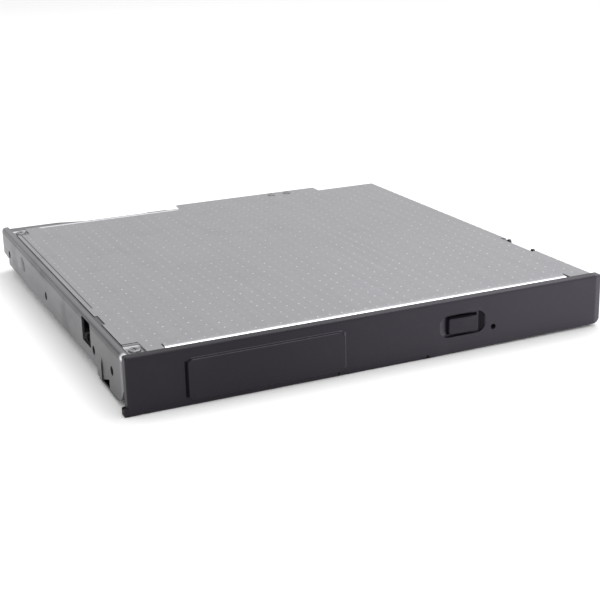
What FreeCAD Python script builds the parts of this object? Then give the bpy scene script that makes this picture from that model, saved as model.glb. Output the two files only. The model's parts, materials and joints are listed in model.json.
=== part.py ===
import FreeCAD, Part
import math
import os
from FreeCAD import Vector

# A slimline optical disc drive for a server or notebook bay.
# Millimetres. X runs to the right seen from the bezel, Y runs from the bezel to the rear
# connector and Z runs up. The sizes below are measured from the chassis front edge (y = 0)
# and the chassis underside (z = 0); the finished solids are moved so that the origin is the
# middle of the underside.

# Overall sizes of the chassis and its sheet metal
body_width = 128.0
body_depth = 126.1
body_height = 12.7
half_width = body_width / 2
pan_gauge = 0.6
cover_gauge = 0.6
bend_radius = 1.3
fold_radius = 1.1

# Clearances and fits
front_gap = 0.35
moving_gap = 0.3
seam_gap = 0.2
running_fit = 0.05
seat_gap = 0.15

# Chassis pan: a shallow wing on the left, a deep tub for the rest
wing_width = 23.5
wing_edge_x = -half_width + wing_width
wing_step_run = 2.0
wing_rise = 1.7
wall_top_fold = 1.9
wall_top_drop = 0.1
right_wall_height = 11.2
rear_wall_height = 10.6
rear_wall_slot_x = (-8.0, half_width - 20.0)
rear_wall_crest = 12.0
rear_wall_shoulder = 11.0
rear_crest_width = 17.0
rear_crest_slope = 14.0
rear_tab_x = (-17.0, -10.5)
rear_tab_height = 11.5
side_lug_y = (26.4, 37.9)
side_lug_radius = 0.75
side_lug_x = half_width - 1.3
side_lug_top = 12.0

# Left wall cut-outs, front to rear
front_tab_length = 12.0
front_tab_radius = 6.5
front_tab_heel = 0.7
front_curl_radius = 0.95
notch_length = 9.0
notch_height = 4.1
hook_tab_bulge = 0.3
hook_tab_radius = 1.4
hook_tab_length = 3.5
hook_web_low = 1.1
hook_web_high = 3.0
pocket_width = 3.2
window_y = (26.6, 34.0)
window_z = (5.8, 11.95)
seam_tab_y = (22.9, 29.3)
seam_tab_reach = 0.8
tail_cut_y = body_depth - 6.8
tail_cut_z = 4.4
tail_cut_rise = 0.5

# Side screw holes, tapped M2, with a drawn burr behind each
side_hole_y = (9.2, 24.3, body_depth - 54.4, body_depth - 8.3)
side_hole_z = 6.1
side_hole_radius = 0.8
burr_radius = 1.4
burr_length = 0.5

# Pan ribs, the ejector stop and the lock post
rib_y = (26.0, body_depth - 26.1)
rib_x = (24.0, 33.0)
rib_width = 2.4
rib_height = 0.5
ejector_x = half_width - 12.0
stop_width = 5.0
stop_height = 6.4
stop_y = body_depth - 6.1
latch_pivot_x = half_width - 16.5
post_x = latch_pivot_x - 3.5
post_y = 21.5
post_radius = 1.2
post_height = 1.7
post_cap_radius = 1.7
post_cap_height = 0.4

# Top cover
cover_rear_y = body_depth - 5.1
cover_tab_x = (-7.0, half_width - 21.6)
cover_tab_y = body_depth - 0.4
cover_side_lean = 0.9
screw_tab_size = (3.9, 6.0)
screw_tab_depth = 0.5
front_roll_x = (-half_width + 10.6, half_width - 8.0)
front_roll_drop = 0.9
front_roll_depth = 3.0
front_roll_height = 1.1
front_roll_slit = 0.4
side_notch_y = (24.5, 40.0)
side_notch_depth = 2.6
screw_head_radius = 1.5
screw_head_height = 0.45
screw_shank_radius = 0.95
screw_length = 1.25
rear_rivet_x = (25.9, 31.5)
rear_rivet_length = 1.1
rear_rivet_radius = 1.3
rear_rivet_height = 0.25

# Telescopic rails: fixed channel, sliding channel, rib of the tray
rail_z = 2.9
rail_height = 4.4
rail_web = 0.5
rail_reach = 1.6
rail_y = (6.0, body_depth - 9.1)
slide_web = 0.4
slide_reach = 1.7
slide_y = (9.0, body_depth - 15.1)
tray_rib_reach = 1.3

# Tray moulding and the disc well
tray_y = (0.4, body_depth - 8.1)
tray_bottom = 2.9
tray_top = 10.6
tray_wall = 1.2
tray_rim_overhang = 1.35
disc_centre_y = 61.5
disc_radius = 60.0
disc_thickness = 1.2
well_clearance = 0.6
well_floor = 8.0
small_well_radius = 40.6
small_well_drop = 0.6
well_underside = 6.7
tray_skin = 1.2
finger_notch_radius = 11.0
bay_half_width = 13.0
bay_radius = 17.0
corner_reach = min(half_width, disc_centre_y + 2.5) * math.sqrt(2)
bay_end = corner_reach - 26.3

# Thin steel plate under the tray
plate_gauge = 0.3
plate_x = (wing_edge_x + 2.5, half_width - 6.0)
plate_margin = 1.6
plate_corner = 12.0
plate_post_radius = 1.5
plate_screw_inset = 2.5

# Bezel
bezel_overhang = 0.1
bezel_bottom = -1.05
bezel_bottom_rise = 0.65
bezel_top = 12.95
bezel_depth = 2.4
bezel_corner = 1.8
bezel_edge_round = 0.7
bezel_foot_reach = 0.9
bezel_foot_height = 2.0
bezel_foot_round = 0.4
label_x = (-half_width + 13.9, -half_width + 53.8)
label_z = (0.4, 10.2)
label_relief = 0.5
label_corner = 1.8
scoop_x = 22.3
scoop_z = 6.4
scoop_half_width = 6.8
scoop_half_height = 2.9
scoop_depth = 1.15
pinhole_x = 31.2
pinhole_z = 4.3
pinhole_radius = 0.7
finger_strip_x = (-11.6, 12.4)
finger_strip_height = 1.2
finger_strip_depth = 0.35
clip_x = (-half_width + 12.0, -6.0, half_width - 12.0)
clip_width = 5.0
clip_reach = 4.6

# Eject button
button_width = 8.1
button_height = 3.9
button_proud = 0.7
button_gap = 0.3
button_travel = 0.8
button_flange = 0.7
button_flange_thickness = 0.6
button_stem_radius = 1.0
switch_height = 2.3

# Traverse unit, turned so that the pickup runs from the spindle to the front left corner
traverse_angle = 225.0
frame_bottom = 3.3
frame_top = 6.5
frame_half_width = 20.0
frame_inner_half = 18.2
frame_end = corner_reach - 24.0
frame_inner_end = frame_end - 2.3
frame_back = -16.0
frame_chamfer = 7.5
rod_v = -16.0
second_rod_v = 11.5
rod_radius = 1.0
rod_z = 4.9
rod_start = 12.0
rod_seat = 1.8
screw_v = 16.0
screw_radius = 1.1
screw_pivot_radius = 0.6
thread_length = frame_end - 20.5
damper_radius = 2.4
damper_hole_radius = 1.3

# Spindle and turntable
disc_seat_z = 8.9
motor_base_height = 0.8
bell_wall = 0.5
table_radius = 14.2
table_lip = 1.2
bell_radius = table_radius - table_lip
table_thickness = 1.1
ring_width = 2.5
ring_inset = 0.1
ring_inner = table_radius - ring_inset - ring_width
ring_height = 0.4
hub_radius = 7.3
hub_height = 2.0
hub_chamfer = 0.6
shaft_radius = 1.0
bearing_radius = 2.2
claw_width = 2.6
claw_height = 0.9
claw_proud = 0.55
claw_travel = 0.6

# Pickup
pickup_rest_radius = 24.0
pickup_travel = frame_end - 9.5 - pickup_rest_radius
sled_half_length = 6.5
sled_bottom = 3.4
sled_top = 6.2
sled_v = (-17.8, 13.3)
sled_corner = 11.6
holder_size = (7.0, 8.4, 1.2)
holder_z = 6.5
lens_radius = 2.1
lens_proud = 0.5
magnet_thickness = 1.1

# Small motor that turns the lead screw
sled_motor_radius = 1.55
sled_motor_length = 9.5
lead_screw_start = 4.0

# Boards and connectors
board_thickness = 0.8
tray_board_z = 3.4
tray_board_y = (8.0, tray_y[1] - 21.0)
tray_board_x = (-14.0, half_width - 7.0)
board_neck_x = 34.0
board_edge_gap = 6.2
chip_sides = (11.0, 9.0, 7.0, 6.0, 5.0)
chip_height = 1.1
chip_chamfer = 0.15
rear_board_x = (-14.0, half_width - 15.4)
rear_board_y = (body_depth - 7.4, body_depth - 0.9)
rear_board_z = 1.6
rear_board_screw_inset = (3.0, 3.2)
socket_x = (-5.5, half_width - 22.5)
socket_y = (body_depth - 6.5, body_depth)
socket_height = 5.4
socket_wall = 0.7
contact_count = 25

# Flexible flat cable, folded once under the tray
flex_x = (-8.0, 14.0)
flex_thickness = 0.12
flex_front_y = 54.0
flex_fixed_y = (45.0, body_depth - 5.6)
flex_overlap = 3.0
flex_low_z = 1.0
flex_high_z = 2.18

# Tray lock and ejector
latch_pivot_y = 12.0
latch_thickness = 1.0
latch_z = 1.2
latch_pin_radius = 0.9
solenoid_size = (7.0, 12.0, 3.0)
solenoid_x = latch_pivot_x - 11.0
solenoid_y = 9.5
ejector_z = 4.7
ejector_rod_radius = 1.1
ejector_tube_radius = 1.75
ejector_tube_y = (body_depth - 25.1, body_depth - 8.2)
ejector_bore_floor = 1.0
ejector_rod_inset = 6.0
tray_travel = 118.0

# Worked-out places
wall_inner_x = half_width - pan_gauge
cover_under = body_height - cover_gauge
rail_top = rail_z + rail_height
slide_z = rail_z + rail_web + moving_gap
slide_height = rail_height - 2 * (rail_web + moving_gap)
tray_rib_z = slide_z + slide_web + moving_gap
tray_rib_height = slide_height - 2 * (slide_web + moving_gap)
rail_face_x = wall_inner_x - 0.05
slide_face_x = rail_face_x - rail_web - moving_gap
tray_side_x = slide_face_x - slide_reach - moving_gap
tray_rim_x = tray_side_x + tray_rim_overhang
well_radius = disc_radius + well_clearance
frame_well_radius = bell_radius + 0.6
motor_base_radius = bell_radius - 0.4
plate_top = tray_bottom
plate_bottom = tray_bottom - plate_gauge

node_shapes = {}


def block(x0, x1, y0, y1, z0, z1):
    """A box between two corners."""
    return Part.makeBox(x1 - x0, y1 - y0, z1 - z0, Vector(x0, y0, z0))


def disc(x, y, z, radius, height):
    """An upright cylinder standing on z."""
    return Part.makeCylinder(radius, height, Vector(x, y, z))


def ring(x, y, z, outer, inner, height):
    """An upright tube standing on z."""
    return disc(x, y, z, outer, height).cut(disc(x, y, z - 1, inner, height + 2))


def bar(point, radius, length, axis):
    """A cylinder from a point along an axis."""
    return Part.makeCylinder(radius, length, point, axis)


def polygon_face(points):
    """A flat face inside a closed outline of points."""
    return Part.Face(Part.makePolygon(points + [points[0]]))


def plate(points, z, thickness):
    """A flat plate with a straight-sided outline given in X and Y."""
    return polygon_face([Vector(x, y, z) for x, y in points]).extrude(Vector(0, 0, thickness))


def fused(shapes):
    """All the shapes joined into one solid, with flush faces merged."""
    result = shapes[0]
    for shape in shapes[1:]:
        result = result.fuse(shape)
    return result.removeSplitter()


def rounded_slab(x0, x1, z0, z1, y0, y1, radius):
    """A slab that lies in the XZ plane with its four corners rounded."""
    slab = block(x0, x1, y0, y1, z0, z1)
    corners = [e for e in slab.Edges if is_along(e, Vector(0, 1, 0))]
    return slab.makeFillet(radius, corners)


def is_along(edge, axis):
    """True for a straight edge that runs along the axis."""
    if not isinstance(edge.Curve, Part.Line):
        return False
    return abs(edge.tangentAt(edge.FirstParameter).dot(axis)) > 0.999


def rounded_path(points, radii):
    """An open wire through the points, with an arc of the given radius at each inner point."""
    edges = []
    start = points[0]
    for index in range(1, len(points) - 1):
        corner = points[index]
        back = (points[index - 1] - corner).normalize()
        ahead = (points[index + 1] - corner).normalize()
        half_turn = back.getAngle(ahead) / 2
        radius = radii[index - 1]
        run = radius / math.tan(half_turn)
        centre = corner + (back + ahead).normalize() * (radius / math.sin(half_turn))
        middle = centre + (corner - centre).normalize() * radius
        arc_start = corner + back * run
        arc_end = corner + ahead * run
        edges.append(Part.LineSegment(start, arc_start).toShape())
        edges.append(Part.Arc(arc_start, middle, arc_end).toShape())
        start = arc_end
    edges.append(Part.LineSegment(start, points[-1]).toShape())
    return Part.Wire(edges)


def bent_sheet(profile, radii, gauge, y0, y1):
    """Sheet metal of one gauge bent along a profile in X and Z, then run from y0 to y1.
    The profile is the outer skin; a positive gauge thickens it to the left of its run."""
    path = rounded_path([Vector(x, 0, z) for x, z in profile], radii)
    inner_points = offset_points(profile, gauge)
    inner_radii = []
    for index, radius in enumerate(radii):
        turn = turn_of(profile[index], profile[index + 1], profile[index + 2])
        inner_radii.append(radius - gauge if turn > 0 else radius + gauge)
    inner = rounded_path([Vector(x, 0, z) for x, z in inner_points], inner_radii)
    first_cap = Part.LineSegment(path.Vertexes[0].Point, inner.Vertexes[0].Point).toShape()
    last_cap = Part.LineSegment(path.Vertexes[-1].Point, inner.Vertexes[-1].Point).toShape()
    outline = Part.Wire(Part.sortEdges(path.Edges + inner.Edges + [first_cap, last_cap])[0])
    sheet = Part.Face(outline).extrude(Vector(0, y1 - y0, 0))
    sheet.translate(Vector(0, y0, 0))
    return sheet


def turn_of(a, b, c):
    """Positive where the run a, b, c turns left."""
    return (b[0] - a[0]) * (c[1] - b[1]) - (b[1] - a[1]) * (c[0] - b[0])


def offset_points(points, distance):
    """The corners of a run moved sideways to its left by a distance."""
    moved = []
    count = len(points)
    for index in range(count):
        normals = []
        for first, second in ((index - 1, index), (index, index + 1)):
            if first < 0 or second >= count:
                continue
            dx = points[second][0] - points[first][0]
            dz = points[second][1] - points[first][1]
            length = math.hypot(dx, dz)
            normals.append((-dz / length, dx / length))
        if len(normals) == 1:
            shift = normals[0]
        else:
            (ax, az), (bx, bz) = normals
            scale = 1 + ax * bx + az * bz
            shift = ((ax + bx) / scale, (az + bz) / scale)
        moved.append((points[index][0] + shift[0] * distance, points[index][1] + shift[1] * distance))
    return moved


def in_traverse(shape):
    """Turns a shape made along the pickup's travel (u along X, v along Y, spindle at 0) into place."""
    shape.rotate(Vector(0, 0, 0), Vector(0, 0, 1), traverse_angle)
    shape.translate(Vector(0, disc_centre_y, 0))
    return shape


def keep(name, shape):
    """Files a finished node under its name."""
    node_shapes[name] = shape


# Chassis pan

def make_base_pan():
    left = -half_width
    right = half_width
    wall_top = body_height - wall_top_drop
    profile = [
        (left + wall_top_fold, wall_top),
        (left, wall_top),
        (left, wing_rise),
        (wing_edge_x - wing_step_run, wing_rise),
        (wing_edge_x, 0),
        (right, 0),
        (right, right_wall_height),
    ]
    radii = [fold_radius, bend_radius, bend_radius, bend_radius, bend_radius]
    pan = bent_sheet(profile, radii, pan_gauge, front_gap, body_depth)
    pan = pan.cut(front_left_notch())
    pan = pan.cut(tail_cut())
    window = rounded_slab(window_y[0], window_y[1], window_z[0], window_z[1], 0, 4, 0.5)
    window.rotate(Vector(0, 0, 0), Vector(0, 0, 1), 90)
    window.translate(Vector(left + 2, 0, 0))
    pan = pan.cut(window)
    pieces = [pan, corner_pocket(), front_tab(), hook_tab(), hook_web(), rear_wall(), rear_flange()]
    pieces += [front_return(), seam_tab(), ejector_stop()]
    pieces += [side_lug(y) for y in side_lug_y]
    pieces += [pan_rib(x) for x in rib_x]
    pieces += [board_foot(x) for x in rear_board_screw_x()]
    pieces += [screw_ledge(x, y) for x, y in screw_places()]
    pan = fused(pieces).cut(front_corner_waste()).cut(front_arc_waste())
    for side in (-1, 1):
        for y in side_hole_y:
            pan = pan.fuse(side_burr(side, y))
    for side in (-1, 1):
        for y in side_hole_y:
            pan = pan.cut(side_bore(side, y))
    return pan.removeSplitter()


def front_left_notch():
    reach = front_tab_length + notch_length
    return block(-half_width - 1, -half_width + pocket_width, front_gap - 1, reach, -1, notch_height)


def corner_pocket():
    """In the front left corner the shallow wing drops to the tub's depth, open on its left."""
    left = -half_width + 0.1
    right = -half_width + pocket_width + 0.1
    rear = front_tab_length + notch_length
    top = wing_rise + pan_gauge
    pocket = block(left, right, front_gap, rear, 0, top)
    hollow = block(left + pan_gauge, right - pan_gauge, front_gap + pan_gauge, rear - pan_gauge,
                   pan_gauge, top + 1)
    side = block(left - 1, left + pan_gauge + 0.1, front_gap - 1, rear - pan_gauge, pan_gauge, top + 1)
    return pocket.cut(hollow).cut(side)


def tail_cut():
    """The rear end of the left wall is cut up clear of the bay's floor."""
    rear = body_depth + 1
    outline = [(tail_cut_y, -1), (tail_cut_y, tail_cut_z), (rear, tail_cut_z + tail_cut_rise), (rear, -1)]
    face = polygon_face([Vector(-half_width - 1, y, z) for y, z in outline])
    return face.extrude(Vector(4.0, 0, 0))


def front_tab():
    """The wall runs straight down at the front; a large radius is cut from its front corner later."""
    tab = block(-half_width, -half_width + pan_gauge, front_gap, front_tab_length, 0, notch_height + 0.5)
    heel = [e for e in tab.Edges if is_along(e, Vector(1, 0, 0))
            and e.CenterOfMass.z < 0.1 and e.CenterOfMass.y > front_tab_length - 0.1]
    return tab.makeFillet(front_tab_heel, heel)


def hook_tab():
    """A lanced leg that swells out of the wall behind the notch and hooks in under it."""
    outer = -half_width - hook_tab_bulge
    profile = [
        (-half_width, notch_height + 2.6),
        (outer, notch_height + 0.6),
        (outer, 0.0),
        (outer + 2.4, 0.0),
    ]
    y1 = front_tab_length + notch_length - 0.1
    return bent_sheet(profile, [1.5, hook_tab_radius], pan_gauge, y1 - hook_tab_length, y1)


def hook_web():
    """The wall between the front tab and the hook, its lower edge sloping up to the front."""
    rear = front_tab_length + notch_length - hook_tab_length
    top = notch_height + 0.2
    outline = [(front_tab_length - 0.1, top), (front_tab_length - 0.1, hook_web_high),
               (rear, hook_web_low), (rear, top)]
    face = polygon_face([Vector(-half_width, y, z) for y, z in outline])
    return face.extrude(Vector(pan_gauge, 0, 0))


def front_return():
    """The wall's front edge is curled in behind the bezel."""
    radius = front_curl_radius
    top = body_height - wall_top_drop - fold_radius
    curl = block(-half_width, -half_width + radius + 0.1, front_gap, front_gap + radius + 0.1,
                 front_tab_radius / 2, top)
    edge = [e for e in curl.Edges if is_along(e, Vector(0, 0, 1))
            and e.CenterOfMass.x < -half_width + 0.1 and e.CenterOfMass.y < front_gap + 0.1]
    return curl.makeFillet(radius, edge)


def front_corner_waste():
    """What the round front corner leaves off the wall and its top fold."""
    radius = front_curl_radius
    corner = block(-half_width - 1, -half_width + radius, front_gap - 1, front_gap + radius, 0, body_height)
    return corner.cut(disc(-half_width + radius, front_gap + radius, -1, radius, body_height + 2))


def front_arc_waste():
    """What the large radius at the wall's front lower corner leaves off the wall and the pocket."""
    radius = front_tab_radius
    reach = pocket_width + 0.2
    corner = block(-half_width - 1, -half_width + reach, front_gap - 1, front_gap + radius, -1, radius)
    axis_start = Vector(-half_width - 2, front_gap + radius, radius)
    return corner.cut(bar(axis_start, radius, reach + 3, Vector(1, 0, 0)))


def seam_tab():
    """A small tab of the top fold that locks into a notch of the cover's edge."""
    fold_end = -half_width + wall_top_fold
    top = body_height - wall_top_drop
    return block(fold_end - 0.2, fold_end + seam_tab_reach, seam_tab_y[0], seam_tab_y[1],
                 top - pan_gauge, top)


def side_lug(y):
    """A round-topped lug of the right wall that stands up in the cover's side notch."""
    foot = right_wall_height - 1.0
    upright = block(side_lug_x, side_lug_x + pan_gauge, y - side_lug_radius, y + side_lug_radius,
                    foot, side_lug_top)
    crown = bar(Vector(side_lug_x, y, side_lug_top), side_lug_radius, pan_gauge, Vector(1, 0, 0))
    bridge = block(side_lug_x, half_width - 0.1, y - side_lug_radius, y + side_lug_radius,
                   foot, right_wall_height)
    return fused([upright, crown, bridge])


def rear_wall():
    """The rear wall: cut low behind the wing, slotted for the connector, high at its left end."""
    y0 = body_depth - pan_gauge
    left = -half_width + 0.3
    right = half_width - 0.3
    tail = tail_cut_z + tail_cut_rise
    crest_end = left + rear_crest_width
    shoulder_end = crest_end + rear_crest_slope
    outline = [
        (left, tail), (wing_edge_x, tail), (wing_edge_x, 0), (right, 0), (right, rear_wall_height),
        (rear_wall_slot_x[1], rear_wall_height), (rear_wall_slot_x[1], pan_gauge),
        (rear_wall_slot_x[0], pan_gauge), (rear_wall_slot_x[0], rear_wall_height),
        (rear_tab_x[1], rear_wall_height), (rear_tab_x[1], rear_tab_height),
        (rear_tab_x[0], rear_tab_height), (rear_tab_x[0], rear_wall_height),
        (shoulder_end + 3, rear_wall_height), (shoulder_end, rear_wall_shoulder),
        (crest_end, rear_wall_crest), (left, rear_wall_crest),
    ]
    face = polygon_face([Vector(x, y0, z) for x, z in outline])
    return face.extrude(Vector(0, pan_gauge, 0))


def rear_flange():
    """The rear wall's crest is folded in over the gap behind the cover."""
    left = -half_width + 0.3
    crest_end = left + rear_crest_width
    upper = [(left, rear_wall_crest), (crest_end, rear_wall_crest),
             (crest_end + rear_crest_slope, rear_wall_shoulder)]
    outline = upper + [(x, z - pan_gauge) for x, z in reversed(upper)]
    y0 = cover_rear_y + seam_gap
    face = polygon_face([Vector(x, y0, z) for x, z in outline])
    return face.extrude(Vector(0, body_depth - y0, 0))


def pan_rib(x):
    """A shallow stiffening rib pressed up into the tub."""
    rib = block(x - rib_width / 2, x + rib_width / 2, rib_y[0], rib_y[1], pan_gauge, pan_gauge + rib_height)
    upright = [e for e in rib.Edges if is_along(e, Vector(0, 0, 1))]
    return rib.makeFillet(rib_width / 2 - 0.05, upright)


def ejector_stop():
    """A lanced tab that stands up behind the ejector rod."""
    return block(ejector_x - stop_width / 2, ejector_x + stop_width / 2, stop_y, stop_y + pan_gauge,
                 pan_gauge / 2, stop_height)


def board_foot(x):
    return disc(x, rear_board_screw_y(), pan_gauge / 2, 1.6, rear_board_z - pan_gauge / 2)


def rear_board_screw_x():
    return [rear_board_x[0] + rear_board_screw_inset[0], rear_board_x[1] - rear_board_screw_inset[0]]


def rear_board_screw_y():
    return rear_board_y[0] + rear_board_screw_inset[1]


def side_burr(side, y):
    start = Vector(side * wall_inner_x, y, side_hole_z)
    return bar(start, burr_radius, burr_length, Vector(-side, 0, 0))


def side_bore(side, y):
    start = Vector(side * (half_width + 1), y, side_hole_z)
    return bar(start, side_hole_radius, 3.0, Vector(-side, 0, 0))


def make_lock_post():
    post = disc(post_x, post_y, pan_gauge, post_radius, post_height)
    groove = disc(post_x, post_y, pan_gauge, post_cap_radius, post_cap_height)
    return fused([post, groove])


# Top cover

def make_top_cover():
    left = -half_width + wall_top_fold + seam_gap
    right = half_width
    top = body_height
    profile = [(right, right_wall_height + seam_gap), (right - cover_side_lean, top), (left, top)]
    sheet = bent_sheet(profile, [fold_radius], cover_gauge, front_gap + 0.2, cover_rear_y)
    tab = block(cover_tab_x[0], cover_tab_x[1], cover_rear_y - 1, cover_tab_y, cover_under, top)
    sheet = sheet.cut(block(front_roll_x[0], front_roll_x[1], 0, roll_end_y(), cover_under - 1, top + 1))
    cover = fused([sheet, tab, front_roll()])
    for y in (front_gap, cover_rear_y - screw_tab_size[1]):
        cover = cover.cut(block(left - 1, left + screw_tab_size[0], y - 1, y + screw_tab_size[1] + 1,
                                cover_under - 1, top + 1))
        cover = cover.fuse(screw_tab(left, y))
    notch = block(right - side_notch_depth, right + 1, side_notch_y[0], side_notch_y[1], 0, top + 1)
    cover = cover.cut(notch)
    cover = cover.cut(block(right - 3, right + 1, -1, body_depth, 0, right_wall_height + seam_gap))
    cover = cover.cut(block(left - 1, left + seam_tab_reach, seam_tab_y[0] - seam_gap,
                            seam_tab_y[1] + seam_gap, 0, top + 1))
    for x in (front_roll_x[0] - front_roll_slit, front_roll_x[1]):
        cover = cover.cut(block(x, x + front_roll_slit, 0, roll_end_y(), 0, top + 1))
    for x, y in screw_places():
        cover = cover.cut(disc(x, y, 0, screw_shank_radius + seat_gap, top + 1))
    for x in rear_rivet_x:
        cover = cover.cut(disc(x, rear_rivet_y(), 0, screw_shank_radius + seat_gap, top + 1))
    return cover.removeSplitter()


def screw_tab(left, y):
    """A corner of the cover stepped down under a screw head, with sloping sides."""
    top = body_height - screw_tab_depth
    width, length = screw_tab_size
    floor = block(left, left + width + 0.5, y, y + length + 0.5, top - cover_gauge, top)
    riser_x = block(left + width, left + width + 0.5, y, y + length + 0.5, top - cover_gauge, body_height)
    riser_y = block(left, left + width + 0.5, y + length, y + length + 0.5, top - cover_gauge, body_height)
    if y > body_depth / 2:
        riser_y = block(left, left + width + 0.5, y - 0.5, y, top - cover_gauge, body_height)
        floor = block(left, left + width + 0.5, y - 0.5, y + length, top - cover_gauge, top)
        riser_x = block(left + width, left + width + 0.5, y - 0.5, y + length, top - cover_gauge, body_height)
    return fused([floor, riser_x, riser_y])


def screw_places():
    left = -half_width + wall_top_fold + seam_gap
    x = left + screw_tab_size[0] / 2
    return [(x, front_gap + screw_tab_size[1] / 2 + 0.2), (x, cover_rear_y - screw_tab_size[1] / 2 - 0.2)]


def rear_rivet_y():
    return cover_rear_y + 2.2


def roll_end_y():
    return front_gap + 0.25 + front_roll_depth


def roll_arc(inset):
    """A quarter ellipse from the turned-down front edge up to the flat of the cover."""
    centre = Vector(front_roll_x[0], roll_end_y(), body_height - front_roll_height)
    front = centre + Vector(0, inset - front_roll_depth, 0)
    crown = centre + Vector(0, 0, front_roll_height - inset)
    return Part.Arc(Part.Ellipse(front, crown, centre), 0, math.pi / 2).toShape()


def front_roll():
    """The cover's front edge falls away in a wide curve and is turned down behind the bezel."""
    foot = cover_under - front_roll_drop
    outer = roll_arc(0)
    inner = roll_arc(cover_gauge)
    ends = [edge.valueAt(edge.FirstParameter) for edge in (outer, inner)]
    crowns = [edge.valueAt(edge.LastParameter) for edge in (outer, inner)]
    feet = [Vector(end.x, end.y, foot) for end in ends]
    lines = [(ends[0], feet[0]), (feet[0], feet[1]), (feet[1], ends[1]), (crowns[0], crowns[1])]
    edges = [outer, inner] + [Part.makeLine(*line) for line in lines]
    face = Part.Face(Part.Wire(Part.__sortEdges__(edges)))
    return face.extrude(Vector(front_roll_x[1] - front_roll_x[0], 0, 0))


def make_cover_screws():
    """Two low-head corner screws and the two small screws of the rear tab."""
    screws = []
    for x, y in screw_places():
        seat = body_height - screw_tab_depth
        screws.append(low_head_screw(x, y, seat, screw_head_radius, screw_head_height, screw_length))
    for x in rear_rivet_x:
        screws.append(low_head_screw(x, rear_rivet_y(), body_height, rear_rivet_radius, rear_rivet_height,
                                     rear_rivet_length))
    return Part.makeCompound(screws)


def low_head_screw(x, y, seat, radius, height, length):
    head = disc(x, y, seat, radius, height)
    rim = [e for e in head.Edges if e.CenterOfMass.z > seat + height - 0.01
           and not isinstance(e.Curve, Part.Line)]
    head = head.makeFillet(height * 0.6, rim)
    recess = block(x - radius * 0.55, x + radius * 0.55, y - 0.16, y + 0.16, seat + height * 0.45, seat + 2)
    cross = block(x - 0.16, x + 0.16, y - radius * 0.55, y + radius * 0.55, seat + height * 0.45, seat + 2)
    shank = disc(x, y, seat - length, screw_shank_radius, length)
    return head.fuse(shank).cut(recess).cut(cross).removeSplitter()


def screw_ledge(x, y):
    """A tab of the pan's wall bent in under a corner of the cover and tapped for its screw."""
    top = body_height - screw_tab_depth - cover_gauge
    ledge = block(-wall_inner_x - 0.1, x + 1.7, y - 1.9, y + 1.9, top - pan_gauge, top)
    return ledge.cut(disc(x, y, 0, screw_shank_radius, body_height))


# Telescopic rails

def channel(face_x, side, web, reach, z, height, y0, y1):
    """A channel with its back towards the wall and its mouth towards the tray."""
    back = sorted((side * face_x, side * (face_x - web)))
    flange = sorted((side * face_x, side * (face_x - reach)))
    pieces = [
        block(back[0], back[1], y0, y1, z, z + height),
        block(flange[0], flange[1], y0, y1, z, z + web),
        block(flange[0], flange[1], y0, y1, z + height - web, z + height),
    ]
    return fused(pieces)


def make_outer_rail(side):
    rail = channel(rail_face_x, side, rail_web, rail_reach, rail_z, rail_height, rail_y[0], rail_y[1])
    for y in side_hole_y:
        start = Vector(side * (half_width + 1), y, side_hole_z)
        rail = rail.cut(bar(start, burr_radius + seat_gap, 3.2, Vector(-side, 0, 0)))
    if side < 0:
        rail = rail.cut(block(-half_width, -half_width + 4, window_y[0], window_y[1], window_z[0] - 0.3,
                              rail_top + 1))
    return rail


def make_slide_rail(side):
    rail = channel(slide_face_x, side, slide_web, slide_reach, slide_z, slide_height, slide_y[0], slide_y[1])
    for step in range(4):
        y = slide_y[0] + 12 + step * (slide_y[1] - slide_y[0] - 24) / 3
        start = Vector(side * (half_width + 1), y, slide_z + slide_height / 2)
        rail = rail.cut(bar(start, 0.6, 3.2, Vector(-side, 0, 0)))
    return rail


# Tray

def make_tray():
    y0, y1 = tray_y
    shell = block(-tray_side_x, tray_side_x, y0, y1, tray_bottom, tray_top)
    rim = block(-tray_rim_x, tray_rim_x, y0, y1, rail_top + moving_gap, tray_top)
    tray = shell.fuse(rim)
    inner_x = tray_side_x - tray_wall
    well_drum = disc(0, disc_centre_y, 0, well_radius + tray_skin, body_height)
    corners = block(-inner_x, inner_x, y0 + tray_wall, y1 - tray_wall, 0, tray_top - tray_skin)
    tray = tray.cut(corners.cut(well_drum))
    hollow = block(-inner_x, inner_x, y0 + tray_wall, y1 - tray_wall, 0, well_underside)
    tray = tray.cut(hollow)
    tray = tray.cut(disc(0, disc_centre_y, well_floor, well_radius, body_height))
    tray = tray.cut(disc(0, disc_centre_y, well_floor - small_well_drop, small_well_radius, body_height))
    tray = tray.cut(mechanism_bay())
    for y in (y0 + 1.0, y1 - 1.0):
        tray = tray.cut(disc(0, y, well_floor - small_well_drop, finger_notch_radius, body_height))
    ribs = []
    for side in (-1, 1):
        span = sorted((side * (tray_side_x - 0.3), side * (tray_side_x + tray_rib_reach)))
        ribs.append(block(span[0], span[1], y0 + 4, y1 - 2, tray_rib_z, tray_rib_z + tray_rib_height))
    tray = fused([tray] + ribs + tray_bosses())
    for x in clip_x:
        tray = tray.cut(block(x - clip_width / 2 - seat_gap, x + clip_width / 2 + seat_gap,
                              -1, y0 + tray_wall + 1, clip_z() - seat_gap, clip_z() + 1.2 + seat_gap))
    tray = tray.cut(button_passage())
    tray = tray.cut(ejector_passage())
    return tray.removeSplitter()


def clip_z():
    return 4.2


def mechanism_bay():
    """The open bay over the traverse unit: round at the spindle, straight along the pickup."""
    low = well_underside - 3
    round_end = disc(0, 0, low, bay_radius, body_height)
    lane = block(0, bay_end, -bay_half_width, bay_half_width, low, body_height)
    far_edges = [e for e in lane.Edges if is_along(e, Vector(0, 0, 1)) and e.CenterOfMass.x > 1]
    lane = lane.makeFillet(5.0, far_edges)
    return in_traverse(round_end.fuse(lane).removeSplitter())


def damper_places():
    return [(-8.0, 23.5), (-8.0, -23.5), (42.0, -23.0), (42.0, 23.0)]


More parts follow.
